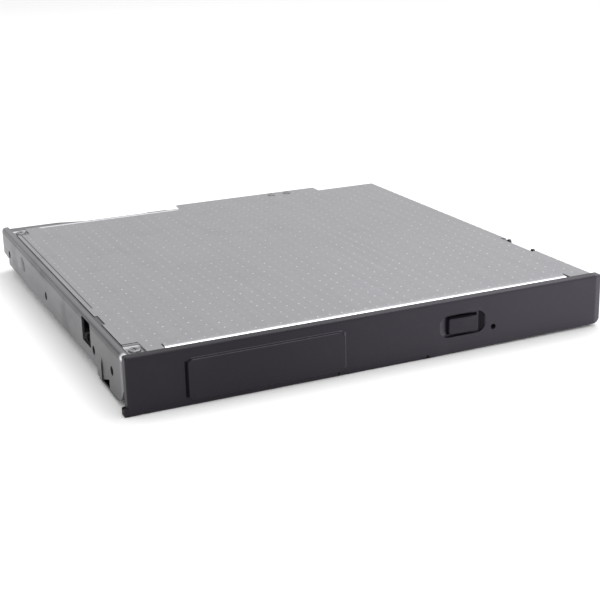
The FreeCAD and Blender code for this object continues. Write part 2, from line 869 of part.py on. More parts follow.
def tray_bosses():
    """Bosses under the well floor that the damper screws go up into."""
    bosses = []
    for u, v in damper_places():
        boss = in_traverse(disc(u, v, frame_top - 0.3, damper_radius, well_underside - frame_top + 0.4))
        bosses.append(boss)
    return bosses


def button_passage():
    return block(scoop_x - button_width / 2 - 1.2, scoop_x + button_width / 2 + 1.2, -1, 2.6,
                 button_z() - 1.2, button_z() + button_height + 1.2)


def button_z():
    return scoop_z - button_height / 2


def ejector_passage():
    start = Vector(ejector_x, tray_y[1] - 3, ejector_z)
    return bar(start, ejector_tube_radius + seat_gap, 5.0, Vector(0, 1, 0))


def make_tray_plate():
    """The thin steel plate screwed under the tray, pierced for the lock pivot."""
    y0 = tray_y[0] + plate_margin
    y1 = tray_y[1] - plate_margin
    outline = [(plate_x[0], y0), (plate_x[1], y0), (plate_x[1], y1), (plate_x[0] + plate_corner, y1),
               (plate_x[0], y1 - plate_corner)]
    sheet = plate(outline, plate_bottom, plate_gauge)
    sheet = sheet.cut(disc(latch_pivot_x, latch_pivot_y, 0, latch_pin_radius + seat_gap, 5))
    for x, y in plate_screw_places():
        sheet = sheet.cut(disc(x, y, 0, 1.0, 5))
    return sheet


def plate_screw_places():
    y0 = tray_y[0] + plate_margin
    y1 = tray_y[1] - plate_margin
    right = plate_x[1] - plate_screw_inset
    return [(right, y0 + 6), (right, y1 - 26), (plate_x[0] + 5.0, y0 + 1.5), (plate_x[0] + 16.0, y1 - 3.0)]


def make_plate_screws():
    """Countersunk screws under the tray plate, flush with it."""
    screws = []
    for x, y in plate_screw_places():
        head = Part.makeCone(1.5, 0.85, 0.3, Vector(x, y, plate_bottom - 0.25))
        shank = disc(x, y, plate_bottom, 0.85, 3.4)
        screws.append(head.fuse(shank).removeSplitter())
    return Part.makeCompound(screws)


def make_plate_posts():
    """Short posts between the well floor and the plate, with the screw bores."""
    posts = []
    for x, y in plate_screw_places():
        post = disc(x, y, plate_top, plate_post_radius, well_underside - plate_top)
        posts.append(post.cut(disc(x, y, 0, 0.9, 10)))
    return Part.makeCompound(posts)


# Bezel and button

def make_bezel():
    half = half_width + bezel_overhang
    front = -bezel_depth
    rise_start = finger_strip_x[1]
    outline = [(-half, bezel_bottom), (rise_start, bezel_bottom), (half, bezel_bottom + bezel_bottom_rise),
               (half, bezel_top), (-half, bezel_top)]
    slab = polygon_face([Vector(x, front, z) for x, z in outline]).extrude(Vector(0, bezel_depth, 0))
    slab = slab.makeFillet(bezel_corner, [e for e in slab.Edges if is_along(e, Vector(0, 1, 0))
                                          and e.CenterOfMass.x > half - 0.1 and e.CenterOfMass.z < 1])
    slab = slab.makeFillet(0.5, [e for e in slab.Edges if is_along(e, Vector(0, 1, 0))
                                 and e.CenterOfMass.z > bezel_top - 0.1])
    slab = slab.makeFillet(bezel_edge_round, [e for e in slab.Edges if abs(e.CenterOfMass.y - front) < 0.01])
    label = rounded_slab(label_x[0], label_x[1], label_z[0], label_z[1], front - label_relief,
                         front + 0.5, label_corner)
    label = label.makeFillet(0.3, [e for e in label.Edges
                                   if abs(e.CenterOfMass.y - (front - label_relief)) < 0.01])
    bezel = fused([slab, label, bezel_foot()] + [bezel_clip(x) for x in clip_x])
    bezel = bezel.cut(finger_scoop())
    bezel = bezel.cut(block(scoop_x - button_width / 2 - button_gap, scoop_x + button_width / 2 + button_gap,
                            front - 1, 1, button_z() - button_gap, button_z() + button_height + button_gap))
    flange = button_flange + moving_gap
    bezel = bezel.cut(block(scoop_x - button_width / 2 - flange, scoop_x + button_width / 2 + flange,
                            -0.9, 1, button_z() - flange, button_z() + button_height + flange))
    bezel = bezel.cut(bar(Vector(pinhole_x, front - 1, pinhole_z), pinhole_radius, 6, Vector(0, 1, 0)))
    return bezel.cut(finger_strip()).removeSplitter()


def bezel_foot():
    """A rounded foot that stands out sideways at the bezel's lower left corner."""
    end = -half_width - bezel_overhang
    foot = block(end - bezel_foot_reach, end + 2, -bezel_depth + 0.3, -0.2, bezel_bottom + 0.1,
                 bezel_bottom + bezel_foot_height)
    rims = [e for e in foot.Edges if e.CenterOfMass.x < end]
    return foot.makeFillet(bezel_foot_round, rims)


def finger_scoop():
    """A long oval dish around the button: a stadium whose depth fades to its ends."""
    front = -bezel_depth
    radius = (scoop_half_width ** 2 + scoop_depth ** 2) / (2 * scoop_depth)
    drum = bar(Vector(scoop_x, front - radius + scoop_depth, scoop_z - scoop_half_height), radius,
               2 * scoop_half_height, Vector(0, 0, 1))
    window = rounded_slab(scoop_x - scoop_half_width, scoop_x + scoop_half_width,
                          scoop_z - scoop_half_height, scoop_z + scoop_half_height,
                          front - 0.5, front + scoop_depth, scoop_half_height - 0.05)
    return drum.common(window)


def finger_strip():
    """A shallow step along the middle of the lower edge."""
    front = -bezel_depth
    x0, x1 = finger_strip_x
    z1 = bezel_bottom + finger_strip_height
    outline = [(x0, bezel_bottom - 1), (x0, z1), (x1 - 1.5, z1), (x1 + 1.0, bezel_bottom - 1)]
    face = polygon_face([Vector(x, front - 1, z) for x, z in outline])
    return face.extrude(Vector(0, 1 + finger_strip_depth, 0))


def bezel_clip(x):
    """A snap hook behind the bezel that enters a slot of the tray's front wall."""
    z = clip_z()
    arm = block(x - clip_width / 2, x + clip_width / 2, -0.5, clip_reach - 1.6, z, z + 0.9)
    barb = [Vector(x - clip_width / 2, clip_reach - 2.7, z + 0.85),
            Vector(x - clip_width / 2, clip_reach - 2.7, z + 1.2),
            Vector(x - clip_width / 2, clip_reach - 1.6, z + 0.85)]
    return arm.fuse(polygon_face(barb).extrude(Vector(clip_width, 0, 0))).removeSplitter()


def make_eject_button():
    """A softly domed key with a retaining flange and a stem that reaches the switch."""
    front = -bezel_depth - button_proud
    x0 = scoop_x - button_width / 2
    z0 = button_z()
    key = rounded_slab(x0, x0 + button_width, z0, z0 + button_height, front, -0.4, 0.5)
    dome_radius = 24.0
    dome = bar(Vector(scoop_x, front + dome_radius, z0 - 1), dome_radius, button_height + 2, Vector(0, 0, 1))
    key = key.common(dome)
    face_edges = [e for e in key.Edges if e.CenterOfMass.y < front + 0.4 and not is_along(e, Vector(0, 1, 0))]
    key = key.makeFillet(0.25, face_edges)
    flange = block(x0 - button_flange, x0 + button_width + button_flange,
                   -0.6, -0.6 + button_flange_thickness,
                   z0 - button_flange, z0 + button_height + button_flange)
    stem_length = switch_front() - 0.3 + 0.1 - button_travel
    stem = bar(Vector(scoop_x, -0.1, scoop_z - 0.7), button_stem_radius, stem_length, Vector(0, 1, 0))
    return fused([key, flange, stem])


def switch_front():
    return 6.0


def make_eject_switch():
    """The small push switch on the tray board behind the button."""
    base = tray_board_z + board_thickness
    front = switch_front()
    body = block(scoop_x - 3.0, scoop_x + 3.0, front + 0.7, front + 4.0, base, base + switch_height)
    nub = bar(Vector(scoop_x, switch_front(), scoop_z - 0.7), 0.8, 1.0, Vector(0, 1, 0))
    foot = block(scoop_x - 3.4, scoop_x + 3.4, tray_board_y[0], switch_front() + 4.4, base, base + 0.4)
    return fused([body, nub, foot])


# Traverse unit

def make_traverse_frame():
    height = frame_top - frame_bottom
    w = frame_half_width
    outline = [(frame_back, -w + 5), (frame_back + 5, -w), (frame_end - frame_chamfer, -w),
               (frame_end, -w + frame_chamfer), (frame_end, w - frame_chamfer),
               (frame_end - frame_chamfer, w), (frame_back + 5, w), (frame_back, w - 5)]
    frame = plate(outline, frame_bottom, height)
    lane = frame_inner_half
    inside = [(rod_start, -lane), (frame_inner_end - 6, -lane), (frame_inner_end, -lane + 6),
              (frame_inner_end, lane - 6), (frame_inner_end - 6, lane), (rod_start, lane)]
    frame = frame.cut(plate(inside, frame_bottom - 1, height + 2))
    frame = frame.cut(disc(0, 0, frame_bottom - 1, frame_well_radius, height + 2))
    floor = disc(0, 0, frame_bottom, frame_well_radius + 0.5, 0.6)
    floor = floor.cut(disc(0, 0, 0, bearing_radius, 10))
    pocket = block(lead_screw_start - sled_motor_length - 1.2, rod_start + 1, screw_v - 2.2, lane,
                   frame_bottom - 1, frame_top + 1)
    frame = fused([frame, floor]).cut(pocket)
    ears = []
    for u, v in damper_places():
        side = 1 if v > 0 else -1
        ear = disc(u, v, frame_bottom + 1.0, damper_radius + 1.3, 1.2)
        web = block(u - 2.6, u + 2.6, min(side * (w - 1), v), max(side * (w - 1), v),
                    frame_bottom + 1.0, frame_bottom + 2.2)
        ears.append(ear.fuse(web))
    frame = fused([frame] + ears)
    for u, v in damper_places():
        frame = frame.cut(disc(u, v, 0, damper_radius - 0.6, 10))
    for v in (rod_v, second_rod_v):
        frame = frame.cut(bar(Vector(rod_start - rod_seat, v, rod_z), rod_radius, 70, Vector(1, 0, 0)))
    frame = frame.cut(bar(Vector(0, screw_v, rod_z), screw_pivot_radius + running_fit, 70, Vector(1, 0, 0)))
    return in_traverse(frame.removeSplitter())


def rod_end(v):
    """Where the frame's chamfered end face meets a rod at v."""
    edge = frame_half_width - frame_chamfer
    over = max(0.0, abs(v) - edge)
    return frame_end - 1.3 - over


def make_guide_rods():
    rods = []
    for v in (rod_v, second_rod_v):
        start = rod_start - rod_seat
        rod = bar(Vector(start, v, rod_z), rod_radius, rod_end(v) - start, Vector(1, 0, 0))
        rods.append(in_traverse(rod))
    return Part.makeCompound(rods)


def make_traverse_cover():
    """The black steel sheet over the traverse, with the spindle hole and the lens window."""
    gap = 0.5
    w = bay_half_width - gap
    round_end = disc(0, 0, frame_top, bay_radius - gap, 0.4)
    lane = block(0, bay_end - gap, -w, w, frame_top, frame_top + 0.4)
    far_edges = [e for e in lane.Edges if is_along(e, Vector(0, 0, 1)) and e.CenterOfMass.x > 1]
    lane = lane.makeFillet(5.0, far_edges)
    sheet = round_end.fuse(lane).removeSplitter()
    sheet = sheet.cut(disc(0, 0, 0, table_radius + 0.5, 10))
    half = holder_size[1] / 2 + magnet_thickness + 1.6
    far = pickup_rest_radius + pickup_travel + sled_half_length + 0.2
    window = block(table_radius - 4, far, -half, half, 0, 10)
    return in_traverse(sheet.cut(window))


def make_rubber_dampers():
    """Grooved rubber bushes that hang the frame's ears from the tray."""
    bushes = []
    for u, v in damper_places():
        tall = frame_top - 0.3 - frame_bottom
        bush = disc(u, v, frame_bottom, damper_radius, tall)
        groove = ring(u, v, frame_bottom + 1.0, damper_radius + 1, damper_radius - 0.6, 1.2)
        bush = bush.cut(groove).cut(disc(u, v, 0, damper_hole_radius, 10))
        bushes.append(in_traverse(bush))
    return Part.makeCompound(bushes)


def make_damper_screws():
    """Shouldered screws through the rubber bushes, driven up from below."""
    screws = []
    for u, v in damper_places():
        shank = disc(u, v, frame_bottom, damper_hole_radius - 0.2, frame_top - 0.3 - frame_bottom)
        head = disc(u, v, frame_bottom - 0.35, damper_radius, 0.35)
        slot = block(u - 1.4, u + 1.4, v - 0.2, v + 0.2, frame_bottom - 1, frame_bottom - 0.15)
        screws.append(in_traverse(shank.fuse(head).cut(slot).removeSplitter()))
    return Part.makeCompound(screws)


def make_spindle_motor():
    """The stator: base plate, bearing tube and twelve pole heads."""
    base_z = frame_bottom + 0.6
    base = disc(0, 0, base_z, motor_base_radius - 0.6, motor_base_height - 0.3)
    tube = disc(0, 0, frame_bottom, bearing_radius - 0.05, 3.3)
    core_z = base_z + motor_base_height - 0.3
    core = disc(0, 0, core_z - 0.1, 4.6, 1.5)
    pieces = [base, tube, core]
    for step in range(9):
        tip = bell_radius - 1.4
        arm = block(4.0, tip - 0.2, -0.9, 0.9, core_z + 0.2, core_z + 1.3)
        arm = arm.fuse(block(tip - 1.2, tip, -2.6, 2.6, core_z + 0.2, core_z + 1.3))
        arm.rotate(Vector(0, 0, 0), Vector(0, 0, 1), 40 * step)
        pieces.append(arm)
    motor = fused(pieces)
    motor = motor.cut(disc(0, 0, 0, shaft_radius + running_fit, 20))
    return in_traverse(motor)


def make_turntable():
    """Rotor bell, disc seat and hub on one shaft, revolved."""
    bell_low = frame_bottom + 1.3
    seat = disc_seat_z - ring_height
    table_low = seat - table_thickness
    section = [
        (0, frame_bottom + 0.1), (shaft_radius, frame_bottom + 0.1), (shaft_radius, table_low - bell_wall),
        (bell_radius - bell_wall, table_low - bell_wall), (bell_radius - bell_wall, bell_low),
        (bell_radius, bell_low), (bell_radius, table_low), (table_radius, table_low + 0.3),
        (table_radius, seat), (ring_inner - 0.3, seat), (ring_inner - 0.3, disc_seat_z - 0.1),
        (hub_radius, disc_seat_z - 0.1), (hub_radius, disc_seat_z + hub_height - hub_chamfer),
        (hub_radius - hub_chamfer, disc_seat_z + hub_height), (2.2, disc_seat_z + hub_height),
        (1.6, disc_seat_z + hub_height - 0.4), (0, disc_seat_z + hub_height - 0.4),
    ]
    face = polygon_face([Vector(r, 0, z) for r, z in section])
    table = face.revolve(Vector(0, 0, 0), Vector(0, 0, 1), 360)
    table = Part.makeSolid(table.Shells[0]) if not isinstance(table, Part.Solid) else table
    for step in range(3):
        table = table.cut(turned(claw_slot(), 120 * step + 30))
    table.translate(Vector(0, disc_centre_y, 0))
    return table


def turned(shape, angle):
    shape.rotate(Vector(0, 0, 0), Vector(0, 0, 1), angle)
    return shape


def claw_z():
    return disc_seat_z + disc_thickness - 0.15


def claw_slot():
    """A radial pocket in the hub, wider than its claw by the running fit."""
    side = claw_width / 2 + 0.3
    z = claw_z()
    return block(hub_radius - 3.6, hub_radius + 1, -side, side, z - 0.3, z + claw_height + 0.3)


def make_claw(step):
    """A sprung claw that snaps over the rim of the disc's hole."""
    z = claw_z()
    outer = hub_radius + claw_proud
    inner = hub_radius - 3.6 + claw_travel + 0.3
    side = claw_width / 2
    outline = [(inner, z), (outer - 0.7, z), (outer, z + 0.35), (outer, z + 0.55),
               (outer - 0.6, z + claw_height), (inner, z + claw_height)]
    face = polygon_face([Vector(r, -side, height) for r, height in outline])
    claw = turned(face.extrude(Vector(0, claw_width, 0)), 120 * step + 30)
    claw.translate(Vector(0, disc_centre_y, 0))
    return claw


def make_turntable_ring():
    return ring(0, disc_centre_y, disc_seat_z - ring_height, table_radius - ring_inset, ring_inner,
                ring_height)


def make_pickup_sled():
    """The carriage: a bored bush on the main rod, a fork on the second, a nut for the screw."""
    u0 = pickup_rest_radius - sled_half_length
    u1 = pickup_rest_radius + sled_half_length
    v0, v1 = sled_v
    reach = sled_half_length + sled_corner
    outline = [(u0, v0), (u1 - sled_half_length + (reach + v0), v0), (u1, -sled_corner), (u1, sled_corner),
               (u1 - sled_half_length + (reach - v1), v1), (u0, v1)]
    body = plate(outline, sled_bottom, sled_top - sled_bottom)
    upright = [e for e in body.Edges if is_along(e, Vector(0, 0, 1))]
    body = body.makeFillet(1.0, upright)
    body = body.cut(bar(Vector(u0 - 1, rod_v, rod_z), rod_radius + running_fit, 2 * sled_half_length + 2,
                        Vector(1, 0, 0)))
    fork = block(u0 - 1, u1 + 1, second_rod_v - rod_radius - 0.3, v1 + 1, rod_z - rod_radius - 0.06,
                 rod_z + rod_radius + 0.06)
    body = body.cut(fork)
    well = block(u0 + 1.6, u1 - 1.6, -7.4, 7.4, sled_top - 1.3, sled_top + 1)
    body = body.cut(well)
    waist = disc(u0 - 3.2, -11.8, 0, 4.6, 10)
    body = body.cut(waist).cut(disc(u1 + 3.2, -11.8, 0, 4.6, 10))
    pieces = [body]
    for side in (-1, 1):
        inner = side * (holder_size[1] / 2 + 0.35)
        outer = inner + side * magnet_thickness
        pieces.append(block(pickup_rest_radius - 2.6, pickup_rest_radius + 2.6,
                            min(inner, outer), max(inner, outer),
                            sled_top - 1.4, holder_z + holder_size[2] - 0.2))
    nut = block(pickup_rest_radius - 2.2, pickup_rest_radius + 2.2,
                v1 - 1.0, screw_v - screw_radius - moving_gap,
                sled_bottom + 0.2, rod_z - rod_radius - 0.1)
    tooth = block(pickup_rest_radius - 1.6, pickup_rest_radius + 1.6, v1 + 0.2,
                  screw_v - screw_radius - moving_gap, sled_bottom + 0.2, sled_top - 0.4)
    return in_traverse(fused(pieces + [nut, tooth]))


def make_lens_holder():
    """The small moving coil frame that carries the objective lens."""
    length, width, height = holder_size
    u = pickup_rest_radius
    frame = block(u - length / 2, u + length / 2, -width / 2, width / 2, holder_z, holder_z + height)
    upright = [e for e in frame.Edges if is_along(e, Vector(0, 0, 1))]
    frame = frame.makeFillet(0.8, upright)
    collar = disc(u, 0, holder_z, lens_radius + 0.7, height + 0.25)
    frame = frame.fuse(collar).cut(disc(u, 0, 0, lens_radius, 20))
    return in_traverse(frame.removeSplitter())


def make_objective_lens():
    """A double-sided lens: a thin rim with a domed top."""
    u = pickup_rest_radius
    top = holder_z + holder_size[2] + 0.2
    rim = disc(u, 0, top - 0.9, lens_radius, 0.6)
    dome_radius = (lens_radius ** 2 + lens_proud ** 2) / (2 * lens_proud)
    ball = Part.makeSphere(dome_radius, Vector(u, 0, top - 0.3 + lens_proud - dome_radius))
    dome = ball.common(disc(u, 0, top - 0.3, lens_radius, 2))
    return in_traverse(fused([rim, dome]))


def make_lead_screw():
    length = rod_end(screw_v) - lead_screw_start
    screw = bar(Vector(lead_screw_start, screw_v, rod_z), screw_pivot_radius, length, Vector(1, 0, 0))
    thread = bar(Vector(rod_start + 1.0, screw_v, rod_z), screw_radius, thread_length, Vector(1, 0, 0))
    return in_traverse(fused([screw, thread]))


def make_sled_motor():
    u1 = lead_screw_start - moving_gap
    u0 = u1 - sled_motor_length
    can = bar(Vector(u0, screw_v, rod_z), sled_motor_radius, sled_motor_length, Vector(1, 0, 0))
    ends = [e for e in can.Edges if not is_along(e, Vector(1, 0, 0))]
    can = can.makeFillet(0.3, ends)
    middle = Vector(u0 + sled_motor_length * 0.45, screw_v, rod_z)
    band = bar(middle, sled_motor_radius - 0.2, 0.8, Vector(1, 0, 0))
    foot = block(u0 + 1, u1 - 1, screw_v - 1.4, screw_v + 1.4, frame_bottom - 0.1, rod_z)
    return in_traverse(fused([can, band, foot]))


# Boards, connectors and the flexible cable

def make_tray_board():
    """The tray's board: its long slanting edge runs beside the traverse frame."""
    y0, y1 = tray_board_y
    left, right = tray_board_x
    shift = disc_centre_y - (frame_half_width + board_edge_gap) * math.sqrt(2)
    outline = [(left, y0), (right, y0), (right, y1), (board_neck_x, y1), (board_neck_x, board_neck_x + shift),
               (left, left + shift)]
    board = plate(outline, tray_board_z, board_thickness)
    for x, y in plate_screw_places():
        board = board.cut(disc(x, y, 0, plate_post_radius + moving_gap, 10))
    board = board.cut(disc(latch_pivot_x, latch_pivot_y, 0, latch_pin_radius + 0.5, 10))
    for u, v in (damper_places()[0], damper_places()[3]):
        board = board.cut(in_traverse(disc(u, v, 0, damper_radius + 1.9, 10)))
    return board


def make_board_chips():
    """The flat packages on the tray board, the largest nearest its middle."""
    top = tray_board_z + board_thickness
    right = tray_board_x[1]
    y0, y1 = tray_board_y
    places = [(right - 11, y0 + 34), (right - 13, y0 + 58), (right - 35, y0 + 18), (right - 9, y1 - 13),
              (right - 45, y0 + 6)]
    chips = []
    for (x, y), side in zip(places, chip_sides):
        chip = block(x - side / 2, x + side / 2, y - side / 2, y + side / 2, top, top + chip_height)
        top_edges = [e for e in chip.Edges if e.CenterOfMass.z > top + chip_height - 0.01]
        chips.append(chip.makeChamfer(chip_chamfer, top_edges))
    return Part.makeCompound(chips)


def make_rear_board():
    x0, x1 = rear_board_x
    y0, y1 = rear_board_y
    board = block(x0, x1, y0, y1, rear_board_z, rear_board_z + board_thickness)
    for x in rear_board_screw_x():
        board = board.cut(disc(x, rear_board_screw_y(), 0, 0.9, 10))
    return board


def make_rear_board_screws():
    screws = []
    for x in rear_board_screw_x():
        seat = rear_board_z + board_thickness
        screws.append(disc(x, rear_board_screw_y(), seat, 1.6, 0.6))
    return Part.makeCompound(screws)


def make_rear_connector():
    """The fifty-way bay connector: a long shell open to the rear around a contact tongue."""
    x0, x1 = socket_x
    y0, y1 = socket_y
    z0 = rear_board_z + board_thickness
    z1 = z0 + socket_height
    shell = block(x0, x1, y0, y1, z0, z1)
    mouth = block(x0 + socket_wall, x1 - socket_wall, y0 + 2.0, y1 + 1, z0 + socket_wall, z1 - socket_wall)
    tongue = block(x0 + 2.5, x1 - 2.5, y0 + 1.5, y1 - 0.6, z0 + socket_height / 2 - 0.7,
                   z0 + socket_height / 2 + 0.7)
    return fused([shell.cut(mouth), tongue])


def make_connector_contacts():
    """Two rows of contact blades on the tongue."""
    x0, x1 = socket_x
    y0, y1 = socket_y
    middle = rear_board_z + board_thickness + socket_height / 2
    pitch = (x1 - x0 - 6.4) / (contact_count - 1)
    blades = []
    for row in (-1, 1):
        z = middle + row * 0.7
        low, high = sorted((z, z + row * 0.12))
        for index in range(contact_count):
            x = x0 + 3.2 + index * pitch
            blades.append(block(x - 0.25, x + 0.25, y0 + 2.1, y1 - 0.9, low, high))
    return Part.makeCompound(blades)


def make_flex_fixed_run():
    return block(flex_x[0], flex_x[1], flex_fixed_y[0], flex_fixed_y[1],
                 pan_gauge, pan_gauge + flex_thickness)


def make_flex_loop():
    """The fold of the flat cable: a long lower run, a half turn and the start of the upper run."""
    low = flex_low_z
    high = flex_high_z
    outer = (high - low) / 2
    y_turn = flex_front_y + outer
    run_end = flex_front_y + tray_travel / 2 + flex_overlap
    middle = (low + high) / 2
    points_out = Part.Arc(Vector(0, y_turn, low), Vector(0, y_turn - outer, middle), Vector(0, y_turn, high))
    inner = outer - flex_thickness
    points_in = Part.Arc(Vector(0, y_turn, high - flex_thickness), Vector(0, y_turn - inner, middle),
                         Vector(0, y_turn, low + flex_thickness))
    short_end = y_turn + flex_overlap
    corners = [Vector(0, y_turn, high), Vector(0, short_end, high),
               Vector(0, short_end, high - flex_thickness), Vector(0, y_turn, high - flex_thickness)]
    edges = [points_out.toShape()]
    edges += [Part.LineSegment(a, b).toShape() for a, b in zip(corners, corners[1:])]
    edges.append(points_in.toShape())
    tail = [Vector(0, y_turn, low + flex_thickness), Vector(0, run_end, low + flex_thickness),
            Vector(0, run_end, low), Vector(0, y_turn, low)]
    edges += [Part.LineSegment(a, b).toShape() for a, b in zip(tail, tail[1:])]
    face = Part.Face(Part.Wire(edges))
    strip = face.extrude(Vector(flex_x[1] - flex_x[0], 0, 0))
    strip.translate(Vector(flex_x[0], 0, 0))
    return strip


def make_flex_tray_run():
    y1 = tray_y[1] - plate_margin - 0.5
    return block(flex_x[0], flex_x[1], flex_front_y + flex_overlap, y1, plate_bottom - flex_thickness,
                 plate_bottom)


# Tray lock and ejector

def make_latch_lever():
    """A hooked lever under the tray, drawn as it stands when the solenoid has freed the post.
    Swung to its other limit, its finger stands behind the post and holds the tray in."""
    across = latch_pivot_x - post_x
    reach = math.hypot(across, post_y - latch_pivot_y) + post_radius + moving_gap
    tip = -(across - post_radius - moving_gap)
    outline = [(-7.4, -2.0), (1.6, -1.6), (2.9, 2.4), (2.9, reach + 1.8), (2.0, reach + 2.4),
               (tip + 0.9, reach + 2.4), (tip, reach + 1.5), (tip, reach), (0.5, reach), (0.5, 3.6),
               (-1.4, 1.2), (-7.4, 0.2)]
    arm = plate(outline, latch_z, latch_thickness)
    hub = disc(0, 0, latch_z, 2.3, latch_thickness)
    pin = disc(0, 0, latch_z, latch_pin_radius, well_underside - moving_gap - latch_z)
    lever = fused([arm, hub, pin])
    lever.translate(Vector(latch_pivot_x, latch_pivot_y, 0))
    return lever


def make_latch_bush():
    """The bush moulded round the lever's pin, between plate and well floor."""
    z = tray_board_z + board_thickness
    outer = ring(latch_pivot_x, latch_pivot_y, z, 2.3, latch_pin_radius + running_fit, well_underside - z)
    return outer


def make_solenoid():
    """The self-holding solenoid that frees the lock: a coil between two yoke plates."""
    width, length, height = solenoid_size
    x = solenoid_x
    y = solenoid_y
    z = tray_board_z + board_thickness
    coil = block(x - width / 2 + 0.6, x + width / 2 - 0.6, y + 1.2, y + length - 1.2, z, z + height - 0.9)
    top_edges = [e for e in coil.Edges if is_along(e, Vector(0, 1, 0)) and e.CenterOfMass.z > z + 0.5]
    coil = coil.makeFillet(0.8, top_edges)
    yokes = [block(x - width / 2, x + width / 2, y, y + 1.2, z, z + height - 0.6),
             block(x - width / 2, x + width / 2, y + length - 1.2, y + length, z, z + height - 0.6)]
    return fused([coil] + yokes)


def make_ejector_tube():
    """The tube that holds the ejector spring and guides its rod."""
    y0, y1 = ejector_tube_y
    tube = bar(Vector(ejector_x, y0, ejector_z), ejector_tube_radius, y1 - y0, Vector(0, 1, 0))
    bore = bar(Vector(ejector_x, y0 + ejector_bore_floor, ejector_z), ejector_rod_radius + running_fit,
               y1 - y0, Vector(0, 1, 0))
    saddle = block(ejector_x - 2.6, ejector_x + 2.6, y0 + 2, y1 - 3, plate_top, ejector_z)
    return fused([tube, saddle]).cut(bore)


def make_ejector_rod():
    y0 = ejector_tube_y[0] + ejector_rod_inset
    rod = bar(Vector(ejector_x, y0, ejector_z), ejector_rod_radius, stop_y - moving_gap - y0, Vector(0, 1, 0))
    tip = [e for e in rod.Edges if e.CenterOfMass.y > stop_y - moving_gap - 0.01
           and not isinstance(e.Curve, Part.Line)]
    return rod.makeFillet(0.5, tip)


def make_ejector_spring():
    """The spring behind the ejector rod, as the sleeve that its coils fill."""
    y0 = ejector_tube_y[0] + ejector_bore_floor + seat_gap
    y1 = ejector_tube_y[0] + ejector_rod_inset - seat_gap
    outer = bar(Vector(ejector_x, y0, ejector_z), ejector_rod_radius - 0.05, y1 - y0, Vector(0, 1, 0))
    return outer.cut(bar(Vector(ejector_x, y0 - 1, ejector_z), 0.65, y1 - y0 + 2, Vector(0, 1, 0)))


def build_all():
    keep("base_pan", make_base_pan())
    keep("lock_post", make_lock_post())
    keep("top_cover", make_top_cover())
    keep("cover_screws", make_cover_screws())
    for side, name in ((-1, "left"), (1, "right")):
        keep(name + "_outer_rail", make_outer_rail(side))
        keep(name + "_slide_rail", make_slide_rail(side))
    keep("rear_board", make_rear_board())
    keep("rear_board_screws", make_rear_board_screws())
    keep("rear_connector", make_rear_connector())
    keep("connector_contacts", make_connector_contacts())
    keep("flex_fixed_run", make_flex_fixed_run())
    keep("flex_loop", make_flex_loop())
    keep("flex_tray_run", make_flex_tray_run())
    keep("tray", make_tray())
    keep("tray_plate", make_tray_plate())
    keep("tray_plate_posts", make_plate_posts())
    keep("tray_plate_screws", make_plate_screws())
    keep("bezel", make_bezel())
    keep("eject_button", make_eject_button())
    keep("eject_switch", make_eject_switch())
    keep("tray_board", make_tray_board())
    keep("board_chips", make_board_chips())
    keep("traverse_frame", make_traverse_frame())
    keep("traverse_cover", make_traverse_cover())
    keep("guide_rods", make_guide_rods())
    keep("rubber_dampers", make_rubber_dampers())
    keep("damper_screws", make_damper_screws())
    keep("spindle_motor", make_spindle_motor())
    keep("turntable", make_turntable())
    keep("turntable_ring", make_turntable_ring())
    for step in range(3):
        keep("disc_claw_%d" % (step + 1), make_claw(step))
    keep("pickup_sled", make_pickup_sled())
    keep("lens_holder", make_lens_holder())
    keep("objective_lens", make_objective_lens())
    keep("lead_screw", make_lead_screw())
    keep("sled_motor", make_sled_motor())
    keep("latch_lever", make_latch_lever())
    keep("latch_bush", make_latch_bush())
    keep("latch_solenoid", make_solenoid())
    keep("ejector_tube", make_ejector_tube())
    keep("ejector_rod", make_ejector_rod())
    keep("ejector_spring", make_ejector_spring())


def export_all():
    """Moves every solid so that the origin is the middle of the underside, and writes it."""
    os.makedirs("parts", exist_ok=True)
    for name, shape in node_shapes.items():
        shape.translate(Vector(0, -body_depth / 2, 0))
        shape.exportStep("parts/" + name + ".step")
        print(name, "solids", len(shape.Solids), "volume", round(shape.Volume, 2), "valid", shape.isValid())


build_all()
export_all()
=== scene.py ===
# %% [markdown]
# # Slimline cd drive: its looks, built around the CAD frame
#
# The drive is a flat steel box, 128 mm wide and 12.7 mm high, closed in front by a charcoal bezel.
# A CAD model already gives every part its size and place, so this script only adds what CAD leaves out:
# finishes, the fine dots pressed into the cover, threads, solder and small marks of making.
#
# The frame has to be loaded first, because everything else is placed in it.

# %% Load the frame
import json
import math

import bpy
from mathutils import Matrix, Vector


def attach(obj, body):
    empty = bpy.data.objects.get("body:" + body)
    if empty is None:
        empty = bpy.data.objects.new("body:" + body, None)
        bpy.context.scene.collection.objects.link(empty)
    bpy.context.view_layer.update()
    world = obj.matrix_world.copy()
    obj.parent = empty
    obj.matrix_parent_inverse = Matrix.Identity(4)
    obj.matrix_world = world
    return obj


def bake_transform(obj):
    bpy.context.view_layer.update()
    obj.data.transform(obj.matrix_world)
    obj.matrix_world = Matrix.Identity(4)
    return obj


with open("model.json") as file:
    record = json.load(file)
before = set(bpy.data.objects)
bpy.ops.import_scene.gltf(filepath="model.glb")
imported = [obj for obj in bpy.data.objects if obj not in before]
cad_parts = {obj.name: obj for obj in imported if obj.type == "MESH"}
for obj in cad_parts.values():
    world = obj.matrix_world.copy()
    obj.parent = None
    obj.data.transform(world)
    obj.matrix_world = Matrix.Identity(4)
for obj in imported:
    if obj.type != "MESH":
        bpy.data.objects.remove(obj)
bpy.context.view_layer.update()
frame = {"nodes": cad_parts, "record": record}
scene = bpy.context.scene
MM = 0.001

